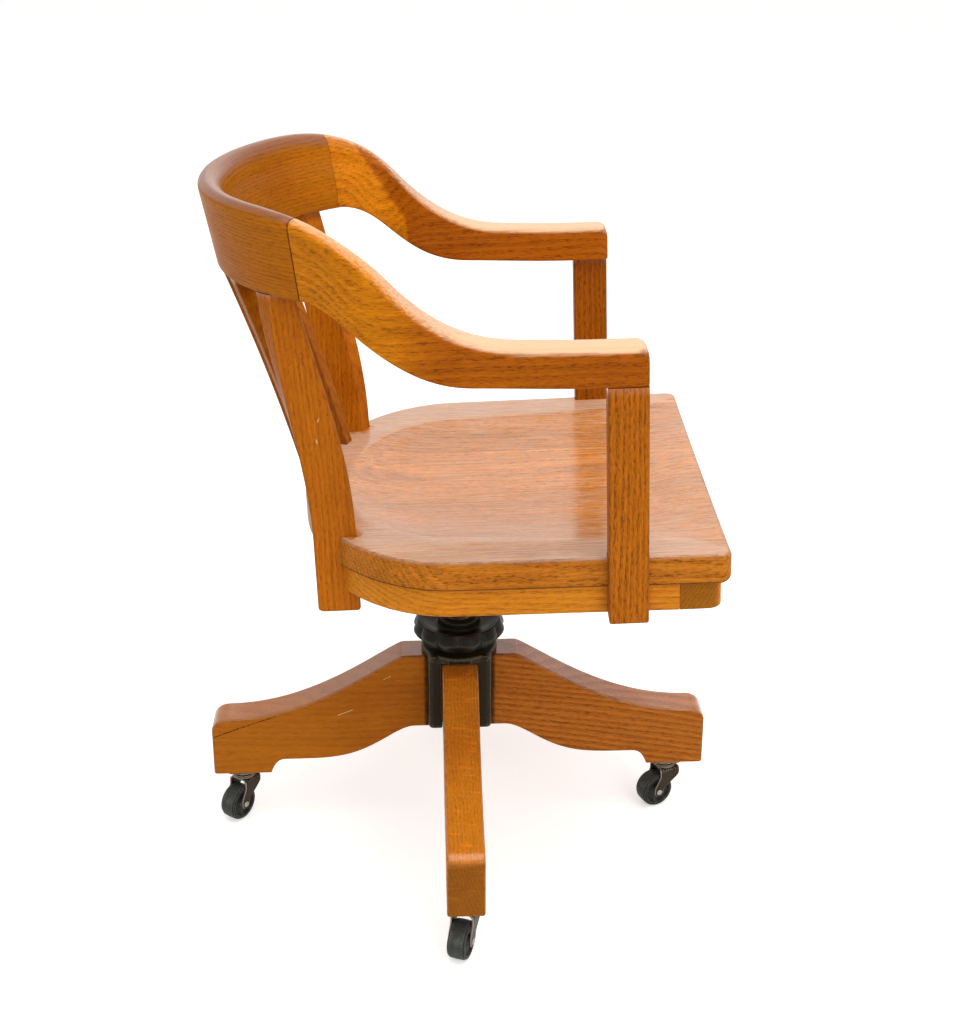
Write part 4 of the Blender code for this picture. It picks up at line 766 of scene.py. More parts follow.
def buildSeat():
    edge, front, top = seat["edge"], seat["frontEdge"], seat["rim"]
    low, frontLow = seat["lowEdge"], seat["frontLowEdge"]
    rings = [[(x, y, seatUnder) for x, y in seatOutline(4.0 * low, 2.0 * frontLow)]]
    for out, up in reversed(quarter(5)):
        rings.append([(x, y, seatUnder + frontRoll(y, low, frontLow) * (1 - up))
                      for x, y in seatOutline(low * (1 - out), frontLow * (1 - out))])
    # a ring at the top of the painted shade line along the lower edge
    rings.append([(x, y, max(z + 0.0004, seatUnder + seat["dirtTop"])) for x, y, z in rings[-1]])
    for share in (0.15, 0.3, 0.5, 0.7, 0.9):
        z = seatUnder + frontLow + (seat["thick"] - front - frontLow) * share
        rings.append([(x, y, z) for x, y in seatOutline(0.0, 0.0)])
    # the top edge is crisp at the sides and rolls over at the front
    for out, up in quarter(7):
        rings.append([(x, y, min(scoopHeight(x, y), top) - frontRoll(y, edge, front) * (1 - up))
                      for x, y in seatOutline(edge * (1 - out), front * (1 - out))])
    rim = seatOutline(edge, front)
    edgeShare = [min(scoopShare(x, y), 1.0) for x, y in rim]
    # in over the rim to the scoop's edge, then down the scoop to its middle
    inward = [[1 + (s - 1) * k for s in edgeShare] for k in (0.25, 0.5, 0.75)]
    for share in [1.0, 0.985, 0.965, 0.94] + [0.90 - 0.86 * k / 18 for k in range(19)]:
        inward.append([s * share for s in edgeShare])
    for shares in inward:
        ring = [(x * share, y * share) for (x, y), share in zip(rim, shares)]
        rings.append([(x, y, scoopHeight(x, y)) for x, y in ring])
    return loft("seatBoard", rings, sharp=40.0)


def seatWearAndSheen(point, normal):
    # the rim is paler than the scoop, partly from wear and partly as painted sheen, on up-facing surfaces only
    deep = (seat["rim"] - point.z) / seat["scoopDepth"]
    worn = 0.41 + 0.09 * ease(1.0 - deep) + 0.22 * ease(1.0 - 40.0 * deep)
    return ease((normal.z - 0.6) / 0.3) * worn


def seatShadeLine(point, normal):
    # painted shade: a dark line along the seat's lower edge, where it sits over the skirt
    above = point.z - seatUnder
    return 0.8 * ease((seat["dirtTop"] - above) / 0.0014) * ease((0.6 - abs(normal.z)) / 0.3)


frontPost = {"y": -0.1829, "width": 0.043, "thick": 0.0262, "proud": 0.0126, "drop": 0.006, "edge": 0.0026}
skirt = {
    "height": 0.0332, "thick": 0.022, "inset": 0.005, "frontThick": 0.047, "frontInset": 0.009,
    "frontCorner": 0.016, "edge": 0.0012, "grainRadius": 0.225}
backPost = {
    "foot": 0.155, "top": 0.168, "thick": 0.018, "depth": 0.050, "topDepth": 0.0195, "housing": 0.0214,
    "drop": 0.0255, "heel": 0.005, "bend": 0.140, "setback": 0.0015, "edge": 0.0025, "rearRun": 1.06,
    "bevelPower": 1.8}
skirtTop = seatUnder - clear
skirtUnder = skirtTop - skirt["height"]
armOuter = seatSide(frontPost["y"]) + frontPost["proud"]


def postFoot():
    outer = backPost["foot"] + backPost["thick"] / 2
    inner = backPost["foot"] - backPost["thick"] / 2
    fronts = [seatEdge(x) - backPost["housing"] for x in (outer, inner)]
    rear = fronts[0] + backPost["depth"]
    return [(outer, fronts[0]), (inner, fronts[1]), (inner, rear), (outer, rear)]


def postHousings(side):
    # the notches that take the posts, cut through the seat and skirt
    low, high = skirtUnder - overcut["z"], seat["rim"] + overcut["z"]
    inner = armOuter - frontPost["thick"] - clear
    half = frontPost["width"] / 2 + clear
    xs = sorted((side * inner, side * (armOuter + overcut["x"])))
    front = blockMesh("frontHousing", (xs[0], frontPost["y"] - half, low),
                      (xs[1], frontPost["y"] + half, high))
    corners = [(side * (x + math.copysign(clear, x - backPost["foot"])), y) for x, y in postFoot()]
    corners = [(x, y - clear if i < 2 else y + overcut["y"]) for i, (x, y) in enumerate(corners)]
    back = loft("backHousing", [[(x, y, z) for x, y in corners] for z in (low, high)])
    return front, back


housings = {side: postHousings(side) for side in (1, -1)}
seatMesh = cutAway("seatBoard", buildSeat(), [cutter for pair in housings.values() for cutter in pair])
# the seat's soil attribute holds the painted shade line over the skirt, and its worn attribute the rim's wear
# and painted sheen
paint(seatMesh, straightGrain("y", 1, (0.0, 0.0, seat["rim"])), 0.3, worn=seatWearAndSheen, soil=seatShadeLine)
addPiece("seatBoard", seatMesh, seatOak, "seat", ["seat"], seatPlace)
print("seat:", len(seatMesh.polygons), "faces")


# Skirt
def skirtSection(outer, inner):
    # all four edges are eased a little
    across = Vector(outer) - Vector(inner)
    wide = across.length
    section = roundedBox((0.0, skirtUnder), (wide, skirtTop), [skirt["edge"]] * 4, 3, [3, 5])
    return [(*(Vector(inner) + across * (p.x / wide)), p.y) for p in section]


railFront = -seat["front"] + skirt["frontInset"]
railRear = railFront + skirt["frontThick"]
railHalf = seatSide(railRear) - skirt["inset"]


def buildFrontRail():
    radii = [skirt["frontCorner"], skirt["frontCorner"], 0.0005, 0.0005]
    outline = roundedBox((-railHalf, railFront), (railHalf, railRear), radii, 8, [30, 4])
    return pillow("skirtFront", outline, skirtUnder, skirtTop, skirt["edge"])


def buildSideSkirt(side):
    rings = []
    start = railRear + clear
    for k in range(17):
        y = start * (1.0 - k / 16)
        x = seatSide(y) - skirt["inset"]
        rings.append(((x, y), (x - skirt["thick"], y)))
    wide, deep = seat["halfWidth"] - skirt["inset"], seat["rear"] - skirt["inset"]
    last = math.acos((backPost["foot"] + backPost["thick"] / 2 + clear) / wide)
    for k in range(1, 41):
        angle = last * k / 40
        outer = Vector((wide * math.cos(angle), deep * math.sin(angle)))
        normal = Vector((math.cos(angle) / seat["halfWidth"], math.sin(angle) / seat["rear"])).normalized()
        normal = normal.lerp(Vector((0.0, 1.0)), ease((k - 20) / 20)).normalized()
        rings.append((outer, outer - normal * skirt["thick"]))
    rings = [skirtSection((side * a[0], a[1]), (side * b[0], b[1])) for a, b in rings]
    return loft(f"skirtSide{side}", rings)


def buildRearSkirt():
    inner = backPost["foot"] - backPost["thick"] / 2 - clear
    rings = []
    for k in range(41):
        x = inner * (2.0 * k / 40 - 1.0)
        share = x / (seat["halfWidth"] - skirt["inset"])
        y = (seat["rear"] - skirt["inset"]) * math.sqrt(1.0 - share ** 2)
        rings.append(skirtSection((x, y), (x, y - skirt["thick"])))
    return loft("skirtRear", rings)


def railTone(point, normal):
    # dark end grain
    return 1.0 - 0.5 * ease((abs(normal.x) - 0.5) / 0.4)


frontRail = paint(buildFrontRail(), straightGrain("x", 2, (0.0, railFront, skirtUnder)), tone=railTone)
addTimber("skirtFront", frontRail, skirtOak, "skirt_front")
for number, (sideName, side) in enumerate(bothSides):
    mesh = cutAway(f"skirt{sideName}", buildSideSkirt(side), [housings[side][0].copy()])
    paint(mesh, bentGrain(0.0, skirt["grainRadius"], 3 + number, skirtUnder))
    addTimber(f"skirt{sideName}", mesh, skirtOak, f"skirt_{sideName.lower()}")
rearSkirt = paint(buildRearSkirt(), straightGrain("x", 5, (0.0, seat["rear"], skirtUnder)))
addTimber("skirtRear", rearSkirt, skirtOak, "skirt_rear")
print("skirt: four pieces")

# Arms and crest rail
arm = {
    "lift": 0.1988, "height": 0.0415, "thick": 0.0445, "waist": 0.0065, "rise": 0.0060, "edge": 0.005,
    "topEdge": 0.009, "crownWidth": 0.014, "crownDrop": 0.005, "endRound": 0.010, "sweep": 0.19,
    "underStart": -0.0274, "underSkew": 1.25, "topStart": -0.0735, "topMiddle": 0.0615, "topPastSeam": 0.0774,
    "topPower": 2.4}
crest = {
    "centre": 0.025, "radius": 0.2525, "lean": 0.0125, "thick": 0.030, "hollow": 0.003, "lift": 0.2873,
    "height": 0.0955, "crownWidth": 0.019, "crownDrop": 0.028, "flat": 0.0035, "leanBehind": 0.003,
    "end": math.radians(58.5), "seam": 0.0005, "grainRadius": 0.24}
armUnder = seat["rim"] + arm["lift"]
armFront = frontPost["y"] - frontPost["width"] / 2
crestUnder = seat["rim"] + crest["lift"]
crestTop = crestUnder + crest["height"]
seamY = crest["centre"] + (crest["radius"] - crest["thick"] / 2) * math.cos(crest["end"])


def railSection(height, under, thick, lean, edges, crown, hollow):
    # (distance in from the outer top edge, height): crisp outer edge, top that rolls in, hollow inner face
    wide, drop = crown
    roll = [(thick - wide + wide * out, height - drop + drop * up) for out, up in reversed(quarter(12))]
    low, high = under + edges[2], height - drop
    face = []
    for k in range(1, 10):
        share = 1.0 - k / 10
        inward = thick + lean * (1.0 - share) + hollow * math.sin(math.pi * share)
        face.append((inward, low + (high - low) * share))
    corners = [(lean, under), (0.0, height), *roll, *face, (lean + thick, under)]
    plain = len(roll) + len(face)
    radii = [edges[0], edges[1]] + [0.0] * plain + [edges[2]]
    return roundedOutline(corners, radii, 5, [9, 3] + [0] * plain + [5])


def crestRadius(angle):
    return crest["radius"] - crest["flat"] * math.cos(angle) ** 4


def crestLean(angle):
    return crest["lean"] + crest["leanBehind"] * math.cos(angle) ** 4


def underOgee(y):
    share = min(max((y - arm["underStart"]) / (seamY - arm["underStart"]), 0.0), 1.0)
    return ease(share ** arm["underSkew"])


def topOgee(y):
    # a short hollow, then a longer swell that runs out on the crest; both have one slope where they meet
    end = seamY + arm["topPastSeam"]
    hollow, swell = arm["topMiddle"] - arm["topStart"], end - arm["topMiddle"]
    if y < arm["topMiddle"]:
        return 0.5 * max((y - arm["topStart"]) / hollow, 0.0) ** arm["topPower"]
    return 1.0 - 0.5 * max((end - y) / swell, 0.0) ** (arm["topPower"] * swell / hollow)


def railHeights(y):
    low = armUnder + arm["rise"] * ease((y - frontPost["y"] - frontPost["width"] / 2) / (-frontPost["y"]))
    high = low + arm["height"]
    return low + (crestUnder - low) * underOgee(y), high + (crestTop - high) * topOgee(y)


def railRing(point, normal, blend, lean, inset=0.0, shares=(1.0, 1.0, 1.0)):
    # the blend runs from arm to crest; the inset draws in the top, the sides and the underside by these shares
    above, beside, below = (inset * share for share in shares)
    thick, *crown = (arm[key] + (crest[key] - arm[key]) * blend for key in ("thick", "crownWidth", "crownDrop"))
    thick -= 4.0 * arm["waist"] * blend * (1.0 - blend)
    under, top = railHeights((point - normal * thick / 2).y)
    edges = 0.5 * arm["edge"], arm["topEdge"], 0.6 * arm["edge"]
    section = railSection(top - above, under + below, thick - 2 * beside, lean, edges, crown,
                          crest["hollow"] * blend)
    return [(*(point - normal * (p.x + beside)), p.y) for p in section]


def armPath(t):
    start = Vector((armOuter, crest["centre"]))
    seam = crestRadius(crest["end"])
    end = Vector((seam * math.sin(crest["end"]), crest["centre"] + seam * math.cos(crest["end"])))
    leave = Vector((0.0, arm["sweep"]))
    arrive = Vector((-math.cos(crest["end"]), math.sin(crest["end"]))) * arm["sweep"]
    s = 1.0 - t
    point = start * (s * s * (1.0 + 2.0 * t)) + leave * (t * s * s)
    return point + end * (t * t * (3.0 - 2.0 * t)) - arrive * (t * t * s)


def buildArm(side):
    across = Vector((1.0, 0.0))
    bull = arm["endRound"]
    # the front end is rounded over most at the top, and is square where the post meets it
    shares = (1.0, 0.4, 0.08)
    rings = [railRing(Vector((armOuter, armFront)), across, 0.0, 0.0, 1.4 * bull, shares)]
    for out, up in reversed(quarter(8)):
        nose = Vector((armOuter, armFront + bull * (1 - up)))
        rings.append(railRing(nose, across, 0.0, 0.0, bull * (1 - out), shares))
    length = crest["centre"] - armFront - bull
    for k in range(36):
        y = armFront + bull + 0.003 + (length - 0.003) * k / 36
        rings.append(railRing(Vector((armOuter, y)), across, 0.0, 0.0))
    # the eased edge of the joint makes half of its dark line
    last = 1.0 - math.asin(clear / 2 / crest["radius"])
    groove = crest["seam"] / arm["sweep"]
    steps = [((last - 3 * groove) * k / 60, 0.0) for k in range(61)]
    steps += [(last - 2 * groove, 0.0), (last - groove, 0.0), (last, crest["seam"])]
    for t, inset in steps:
        ahead = armPath(min(t + 0.001, 1.0)) - armPath(max(t - 0.001, 0.0))
        normal = Vector((ahead.y, -ahead.x)).normalized()
        rings.append(railRing(armPath(t), normal, ease(t), crestLean(crest["end"]) * ease(t), inset))
    return loft(f"arm{side}", [[(side * x, y, z) for x, y, z in ring] for ring in rings])


def buildCrest():
    rings = []
    # the ends reach the arms, so that no light shows through the joints
    last = crest["end"] + clear / crest["radius"]
    groove = crest["seam"] / crest["radius"]
    steps = [((last - 3 * groove) * (k / 60 - 1.0), 0.0) for k in range(121)]
    ends = [(last - 2 * groove, 0.0), (last - groove, 0.0), (last, crest["seam"])]
    for angle, inset in [(-turn, eased) for turn, eased in reversed(ends)] + steps + ends:
        normal = Vector((math.sin(angle), math.cos(angle)))
        outer = Vector((0.0, crest["centre"])) + normal * crestRadius(angle)
        rings.append(railRing(outer, normal, 1.0, crestLean(angle), inset))
    return loft("crestRail", rings)


def seamDarkening(point, normal):
    # darkens the joints between crest and arms, strongly on the right and faintly on the left
    away = abs(math.atan2(abs(point.x), point.y - crest["centre"]) - crest["end"]) * crest["radius"]
    return (0.9 if point.x < 0.0 else 0.15) * ease(1.9 - away / crest["seam"])


def handWearAndSheen(point, normal):
    # hands have worn the tops of the arms, most of all in front; the pale top this lays on is partly painted
    # sheen, in a narrower band on the left arm
    below = railHeights(point.y)[1] - point.z
    depth = 0.006 if point.x > 0.0 else 0.010
    return (0.6 + 0.4 * ease((0.06 - point.y) / 0.12)) * ease(1.0 - below / depth)


def armToneAndShade(point, normal):
    # the rear half is paler; on the left arm the change is a curved line, and near the crest the left arm is
    # darkened as painted shade, to run into the crest's painted highlight
    start, run = (0.05 + 0.6 * max(point.z - 0.73, 0.0), 0.004) if point.x > 0.0 else (0.0, 0.08)
    seamShading = ease((point.y - seamY + 0.06) / 0.06) if point.x > 0.0 else 0.0
    return 0.63 + 0.37 * ease((point.y - start) / run) - 0.13 * seamShading


def crestToneAndHighlight(point, normal):
    # the outer face is paler than the inner, and the left end is lightened towards its arm as a painted
    # highlight
    outward = Vector((point.x, point.y - crest["centre"], 0.0)).normalized()
    seamShading = ease((math.atan2(point.x, point.y - crest["centre"]) - 0.35) / 0.65)
    return (0.95 + 0.14 * outward.dot(normal)) * (1.0 + 0.2 * seamShading)


for number, (sideName, side) in enumerate(bothSides):
    armGrain = bentGrain(crest["centre"], crest["grainRadius"], 6 + number, armUnder)
    mesh = paint(buildArm(side), armGrain, 0.75, soil=seamDarkening, worn=handWearAndSheen, tone=armToneAndShade)
    addTimber(f"arm{sideName}", mesh, armOak, f"arm_{sideName.lower()}")
crestGrain = bentGrain(crest["centre"], crest["grainRadius"], 8, crestUnder)
crestMesh = paint(buildCrest(), crestGrain, 0.6, soil=seamDarkening, tone=crestToneAndHighlight)
addTimber("crestRail", crestMesh, crestOak, "crest_rail")
print("horseshoe rail: crest and two arms")


# Front posts, back posts and slats
def buildFrontPost(side):
    outer, inner = side * armOuter, side * (armOuter - frontPost["thick"])
    low, high = skirtUnder - frontPost["drop"], armUnder - clear
    middle = Vector(((outer + inner) / 2, frontPost["y"]))
    edge = frontPost["edge"]
    levels = [(3.0 * edge, low)]
    levels += [(edge * (1 - out), low + edge * (1 - up)) for out, up in reversed(quarter(4))]
    levels += [(0.0, low + edge + (high - low - edge) * k / 24) for k in range(1, 25)]
    rings = []
    for inset, z in levels:
        wide, deep = frontPost["thick"] / 2 - inset, frontPost["width"] / 2 - inset
        outline = roundedBox((-wide, -deep), (wide, deep), [max(edge - inset, 0.0003)] * 4, 4, [4, 6])
        rings.append([(*(middle + p), z) for p in outline])
    return loft(f"frontPost{side}", rings)


def backCircle(x, radius):
    return crest["centre"] + math.sqrt(max(0.0, radius * radius - x * x))


def postBend(z):
    def lean(height):
        past = max(0.0, height - seat["rim"])
        return past * past / (2 * backPost["bend"]) if past < backPost["bend"] else past - backPost["bend"] / 2
    return lean(z) / lean(crestUnder)


def backPostRing(z, side, inset=0.0, heel=0.0):
    outerFoot, innerFoot, _, rearFoot = postFoot()
    share = min(max((z - seat["rim"]) / (crestUnder - seat["rim"]), 0.0), 1.0)
    outer = outerFoot[0] + (backPost["top"] - backPost["foot"]) * share
    inner = outer - backPost["thick"]
    tops = (backPost["top"] + backPost["thick"] / 2, backPost["top"] - backPost["thick"] / 2)
    rearRadius = crest["radius"] - crest["lean"] - backPost["setback"]
    frontRadius = rearRadius - backPost["topDepth"]
    fronts = [foot[1] + (backCircle(top, frontRadius) - foot[1]) * postBend(z)
              for foot, top in zip((outerFoot, innerFoot), tops)]
    rears = [backCircle(top, rearRadius) for top in tops]
    rear = rearFoot[1] + (rears[0] - rearFoot[1]) * ease(backPost["rearRun"] * share)
    bevel = (rears[1] - rears[0]) * share ** backPost["bevelPower"]
    corners = [(outer - inset, fronts[0] + inset), (inner + inset, fronts[1] + inset),
               (inner + inset, rear + bevel - inset - heel), (outer - inset, rear - inset - heel)]
    outline = roundedOutline(corners, [max(backPost["edge"] - 0.3 * inset, 0.0004)] * 4, 4, [3, 6, 3, 6])
    return [(side * p.x, p.y, z) for p in outline]


def buildBackPost(side):
    low, high, heel = skirtUnder - backPost["drop"], crestUnder - clear, backPost["heel"]
    rings = [backPostRing(low, side, 2.4 * backPost["edge"], 1.2 * heel)]
    for out, up in reversed(quarter(5)):
        inset = 1 - out
        rings.append(backPostRing(low + heel * (1 - up), side, backPost["edge"] * inset, heel * inset))
    for k in range(1, 15):
        rings.append(backPostRing(low + heel + (seat["rim"] - low - heel) * k / 15, side))
    for k in range(41):
        rings.append(backPostRing(seat["rim"] + (high - seat["rim"]) * k / 40, side))
    return loft(f"backPost{side}", rings)


slat = {
    "count": 6, "width": 0.016, "depth": 0.018, "pitch": 0.0454, "topStep": math.radians(11.1), "bow": 0.005,
    "topSetback": 0.0115, "setback": 0.0157, "edge": 0.0018}


def buildSlat(number):
    step = number - (slat["count"] - 1) / 2
    footX, topAngle = step * slat["pitch"], step * slat["topStep"]
    topRadius = crestRadius(topAngle) - crestLean(topAngle) - slat["topSetback"]
    top = Vector((topRadius * math.sin(topAngle), crest["centre"] + topRadius * math.cos(topAngle)))
    foot = Vector((footX, seatEdge(footX) - slat["setback"]))
    footAngle = math.atan(seat["rear"] ** 2 * footX / (seat["halfWidth"] ** 2 * seatEdge(footX)))
    wide, deep = slat["width"] / 2, slat["depth"] / 2
    outline = roundedBox((-wide, -deep), (wide, deep), [slat["edge"]] * 4, 4, [3, 3])
    rings = []
    for k in range(33):
        share = k / 32
        middle = foot.lerp(top, share)
        middle.y -= 4 * slat["bow"] * share * (1.0 - share)
        turn = Matrix.Rotation(-(footAngle + (topAngle - footAngle) * share), 2)
        z = seat["rim"] + clear + (crest["lift"] - 2 * clear) * share
        rings.append([(*(middle + turn @ p), z) for p in outline])
    return loft(f"backSlat{number + 1}", rings)


for number, (sideName, side) in enumerate(bothSides):
    mesh = paint(buildFrontPost(side), straightGrain("z", 9 + number, (side * armOuter, frontPost["y"], 0.0)))
    # the left post takes the darker copy of the oak: painted shade
    oak = frontPostOak if side < 0 else farPostOak
    addTimber(f"frontPost{sideName}", mesh, oak, f"front_post_{sideName.lower()}")
    mesh = paint(buildBackPost(side), straightGrain("z", 11 + number, (side * backPost["foot"], 0.15, 0.0)))
    addTimber(f"backPost{sideName}", mesh, backPostOak, f"back_post_{sideName.lower()}")
for number in range(slat["count"]):
    mesh = paint(buildSlat(number), straightGrain("z", 13 + number, (0.0, 0.18, 0.0)))
    addTimber(f"backSlat{number + 1}", mesh, slatOak, f"back_slat_{number + 1}")
print("back: posts and", slat["count"], "slats")

# Legs and hub
castor = {
    "height": 0.0686, "trail": 0.0145, "wheelRadius": 0.0222, "wheelWidth": 0.022, "plate": 0.037,
    "plateThick": 0.0022, "plateCorner": 0.005, "plateEdge": 0.0005, "screwPlace": 0.0135, "screwScale": 0.52,
    "raceThick": 0.0110, "raceRadius": 0.0145, "raceBore": 0.004, "raceGroove": 0.002, "crownLead": 0.0150,
    "crownTail": 0.0130, "crownDepth": 0.0123, "crownRound": 0.006, "sheet": 0.0022, "sheetEdge": 0.0006,
    "wheelGap": 0.0008, "cheekEnd": 0.0062, "axleRadius": 0.0024, "rivetRadius": 0.0038, "rivetHeight": 0.0016}
leg = {
    "thick": 0.0433, "reach": 0.312, "rise": 0.1644, "hubDepth": 0.1005, "endDepth": 0.0791, "pad": 0.072,
    "padStep": 0.0194, "padRun": 0.022, "shoulder": 0.071, "heel": 0.057, "nose": 0.020, "noseDrop": 0.016,
    "edge": 0.003, "hubCore": 0.044, "hubJoint": 0.0458, "topSkew": 0.63, "underSkew": 2.05, "padPower": 3.3}
hubRim = {"bore": 0.032, "reach": 0.0474, "gap": 0.0008, "bevel": 0.0012, "ease": 0.0008, "sunk": 0.0004}
legTop = castor["height"] + leg["rise"]
legTurns = {"rear": 90.0, "right": 180.0, "front": 270.0, "left": 0.0}


def arcDrop(x, start, run):
    # how far a quarter round has fallen away, as a share of its height
    share = min(max((x - start) / run, 0.0), 1.0)
    return 1.0 - math.sqrt(1.0 - share * share)


def legHeights(x):
    low, reach = castor["height"], leg["reach"]
    endTop, toe = low + leg["endDepth"], reach - leg["nose"]
    run = (x - leg["shoulder"]) / (toe - leg["shoulder"])
    high = legTop + (endTop - legTop) * ease(max(run, 0.0) ** leg["topSkew"])
    high -= leg["noseDrop"] * arcDrop(x, toe, leg["nose"])
    pad, web, under = reach - leg["pad"], low + leg["padStep"], legTop - leg["hubDepth"]
    step = pad - leg["padRun"]
    if x < step:
        back = min((step - x) / (step - leg["heel"]), 1.0)
        return web + (under - web) * ease(back ** leg["underSkew"]), high
    if x < pad:
        return low + leg["padStep"] * (1.0 - ((x - step) / leg["padRun"]) ** leg["padPower"]), high
    return low + leg["edge"] * arcDrop(x, reach - leg["edge"], leg["edge"]), high


def legRing(x, inset=0.0):
    low, high = legHeights(x)
    inset += leg["edge"] * arcDrop(x, leg["reach"] - leg["edge"], leg["edge"])
    half = leg["thick"] / 2 - inset
    edge = max(leg["edge"] - 0.8 * inset, 0.0004)
    return [(x, *p) for p in roundedBox((-half, low), (half, high), [edge] * 4, 5, [6, 10])]


def buildLeg():
    inner, reach, edge = leg["hubCore"] / 2 + clear, leg["reach"], leg["edge"]
    pad = reach - leg["pad"]
    stations = [inner, 0.030, *(leg["hubJoint"] - 0.002 * k for k in (3, 2, 1, 0)), 0.049]
    stations += [leg["heel"] + (pad - leg["padRun"] - leg["heel"]) * k / 44 for k in range(44)]
    stations += [pad - leg["padRun"] * (1.0 - k / 9) ** 1.4 for k in range(10)]
    stations += [pad + 0.001 + (reach - leg["nose"] - pad - 0.001) * k / 14 for k in range(14)]
    stations += [reach - leg["nose"] + (leg["nose"] - edge) * up for out, up in quarter(9)]
    stations += [reach - edge + edge * up for out, up in quarter(6)[1:]]
    return loft("leg", [legRing(x) for x in stations], sharp=40.0)


def legTone(point, normal):
    # dark end grain
    return 1.0 - 0.5 * ease((normal.x - 0.7) / 0.25) * ease((point.x - leg["reach"] + 0.012) / 0.01)


def legShadeByHub(point, normal):
    # painted shade: the legs darken beside the hub's columns
    return 0.9 * ease((leg["hubJoint"] - point.x) / 0.004)


def buildHubRim():
    # runs out over the legs from the crown of the hub
    top, reach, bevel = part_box("hub")[1].z, hubRim["reach"], hubRim["bevel"]
    low, high = legTop + hubRim["gap"], top - hubRim["sunk"]
    profile = [(hubRim["bore"], low), (reach - bevel, low), (reach, low + bevel), (reach, top - 2.5 * bevel),
               (reach - hubRim["ease"], top - bevel), (reach - 2.0 * bevel, high), (hubRim["bore"], high)]
    return lathe("hubRim", profile)


legMesh = buildLeg()
legFinish = {"rear": rearLegOak, "right": sideLegOak, "front": frontLegOak, "left": sideLegOak}
for number, (legName, degrees) in enumerate(legTurns.items()):
    slope = 0.16 if legName == "front" else 0.0
    legGrain = straightGrain("x", 20 + number, (0.15, 0.0, 0.15), slope)
    # the soil attribute carries the painted shade beside the hub
    mesh = paint(legMesh.copy(), legGrain, 0.4, soil=legShadeByHub, tone=legTone)
    turn = basePlace @ Matrix.Rotation(math.radians(degrees), 4, "Z")
    addPiece(f"leg{legName.capitalize()}", mesh, legFinish[legName], "base", [f"leg_{legName}"], turn)
hubMesh = paint(casting("hub", 0.0013, 6, buildHubRim()))
addPiece("hubCasting", hubMesh, castIron, "base", ["hub"])
print("base: four legs, hub of", len(hubMesh.polygons), "faces")

# Handwheel, swivel sleeve and screw spindle
wheel = {"radius": 0.0575, "neck": 0.030, "height": 0.040, "lobes": 12, "lobeDepth": 0.0042, "fullness": 0.75}
spindle = {"radius": 0.0155, "pitch": 0.00635, "depth": 0.0013, "chamfer": 0.002, "land": 0.12, "flank": 0.13}
sleeve = {"wall": 0.003, "flange": 0.003}
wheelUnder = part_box("handwheel")[0].z


def throughRings(points, steps):
    # smooth closed run through control points
    count = len(points)
    run = []
    for i in range(count):
        a, b, c, d = (Vector(points[(i + k - 1) % count]) for k in range(4))
        for k in range(steps):
            t = k / steps
            run.append(0.5 * (2 * b + (c - a) * t + (2 * a - 5 * b + 4 * c - d) * t ** 2
                              + (3 * b - a - 3 * c + d) * t ** 3))
    return run


def buildHandwheel():
    radius, bore = wheel["radius"], spindle["radius"] + running
    # shares of the radius, the lobes and the height: underside, lobed rim, dish and the boss round the screw
    steps = [(0.74, 0.5, 0.05), (0.88, 1.0, 0.19), (0.98, 1.0, 0.37), (1.0, 0.9, 0.50), (0.93, 0.5, 0.70),
             (0.88, 0.0, 0.75), (0.845, 0.0, 0.75), (0.78, 0.0, 0.68), (0.66, 0.0, 0.60), (0.47, 0.0, 0.57),
             (0.43, 0.0, 0.78), (0.39, 0.0, 0.82)]
    steps = [(out * radius, share, level) for out, share, level in steps]
    steps = [(wheel["neck"], 0.0, 0.0), *steps, (bore, 0.0, 0.82), (bore, 0.0, 0.0)]
    turns = [2 * math.pi * k / (24 * wheel["lobes"]) for k in range(24 * wheel["lobes"])]
    dents = [1.0 - abs(math.sin(wheel["lobes"] * turn / 2)) ** wheel["fullness"] for turn in turns]
    rings = []
    for reach, share, level in throughRings(steps, 5):
        reach = max(reach, bore)
        dip = min(max(share, 0.0), 1.0) * wheel["lobeDepth"]
        z = wheelUnder + min(max(level, 0.0), 1.0) * wheel["height"]
        rings.append([atAngle(reach - dip * dent, turn, z) for turn, dent in zip(turns, dents)])
    return loft("handwheel", rings, True, 50.0)


def buildSpindle():
    low, high = (corner.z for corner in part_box("spindle"))
    radius, depth, pitch = spindle["radius"], spindle["depth"], spindle["pitch"]
    rows, around = 14, 48
    count = int((high - low) / pitch * rows)
    rings = []
    for k in range(count + 1):
        z = low + (high - low) * k / count
        chamfer = max(0.0, spindle["chamfer"] - min(z - low, high - z))
        ring = []
        for i in range(around):
            phase = (z / pitch - i / around) % 1.0
            flank = min(max((abs(phase - 0.5) - spindle["land"]) / spindle["flank"], 0.0), 1.0)
            ring.append(atAngle(radius - depth * flank - chamfer, 2 * math.pi * i / around, z))
        rings.append(ring)
    return loft("spindleScrew", rings, sharp=60.0)


def buildSleeve():
    low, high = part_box("swivel_sleeve")
    bore = spindle["radius"] + running
    outer, under = bore + sleeve["wall"], high.z - sleeve["flange"]
    corners = [(bore, low.z), (outer, low.z), (outer, under), (high.x, under), (high.x, high.z), (bore, high.z)]
    radii = [0.0005, 0.0005, 0.0008, 0.0007, 0.0007, 0.0005]
    return lathe("swivelSleeve", roundedOutline(corners, radii, 3, [2, 12, 3, 1, 3, 12]), 64)


addPiece("handwheel", paint(buildHandwheel()), dishIron, "handwheel", ["handwheel"])
addPiece("spindleScrew", paint(buildSpindle()), agedSteel, "spindle", ["spindle"])
addPiece("swivelSleeve", paint(buildSleeve()), castIron, "swivel", ["swivel_sleeve"])
print("height screw: handwheel, spindle and sleeve")


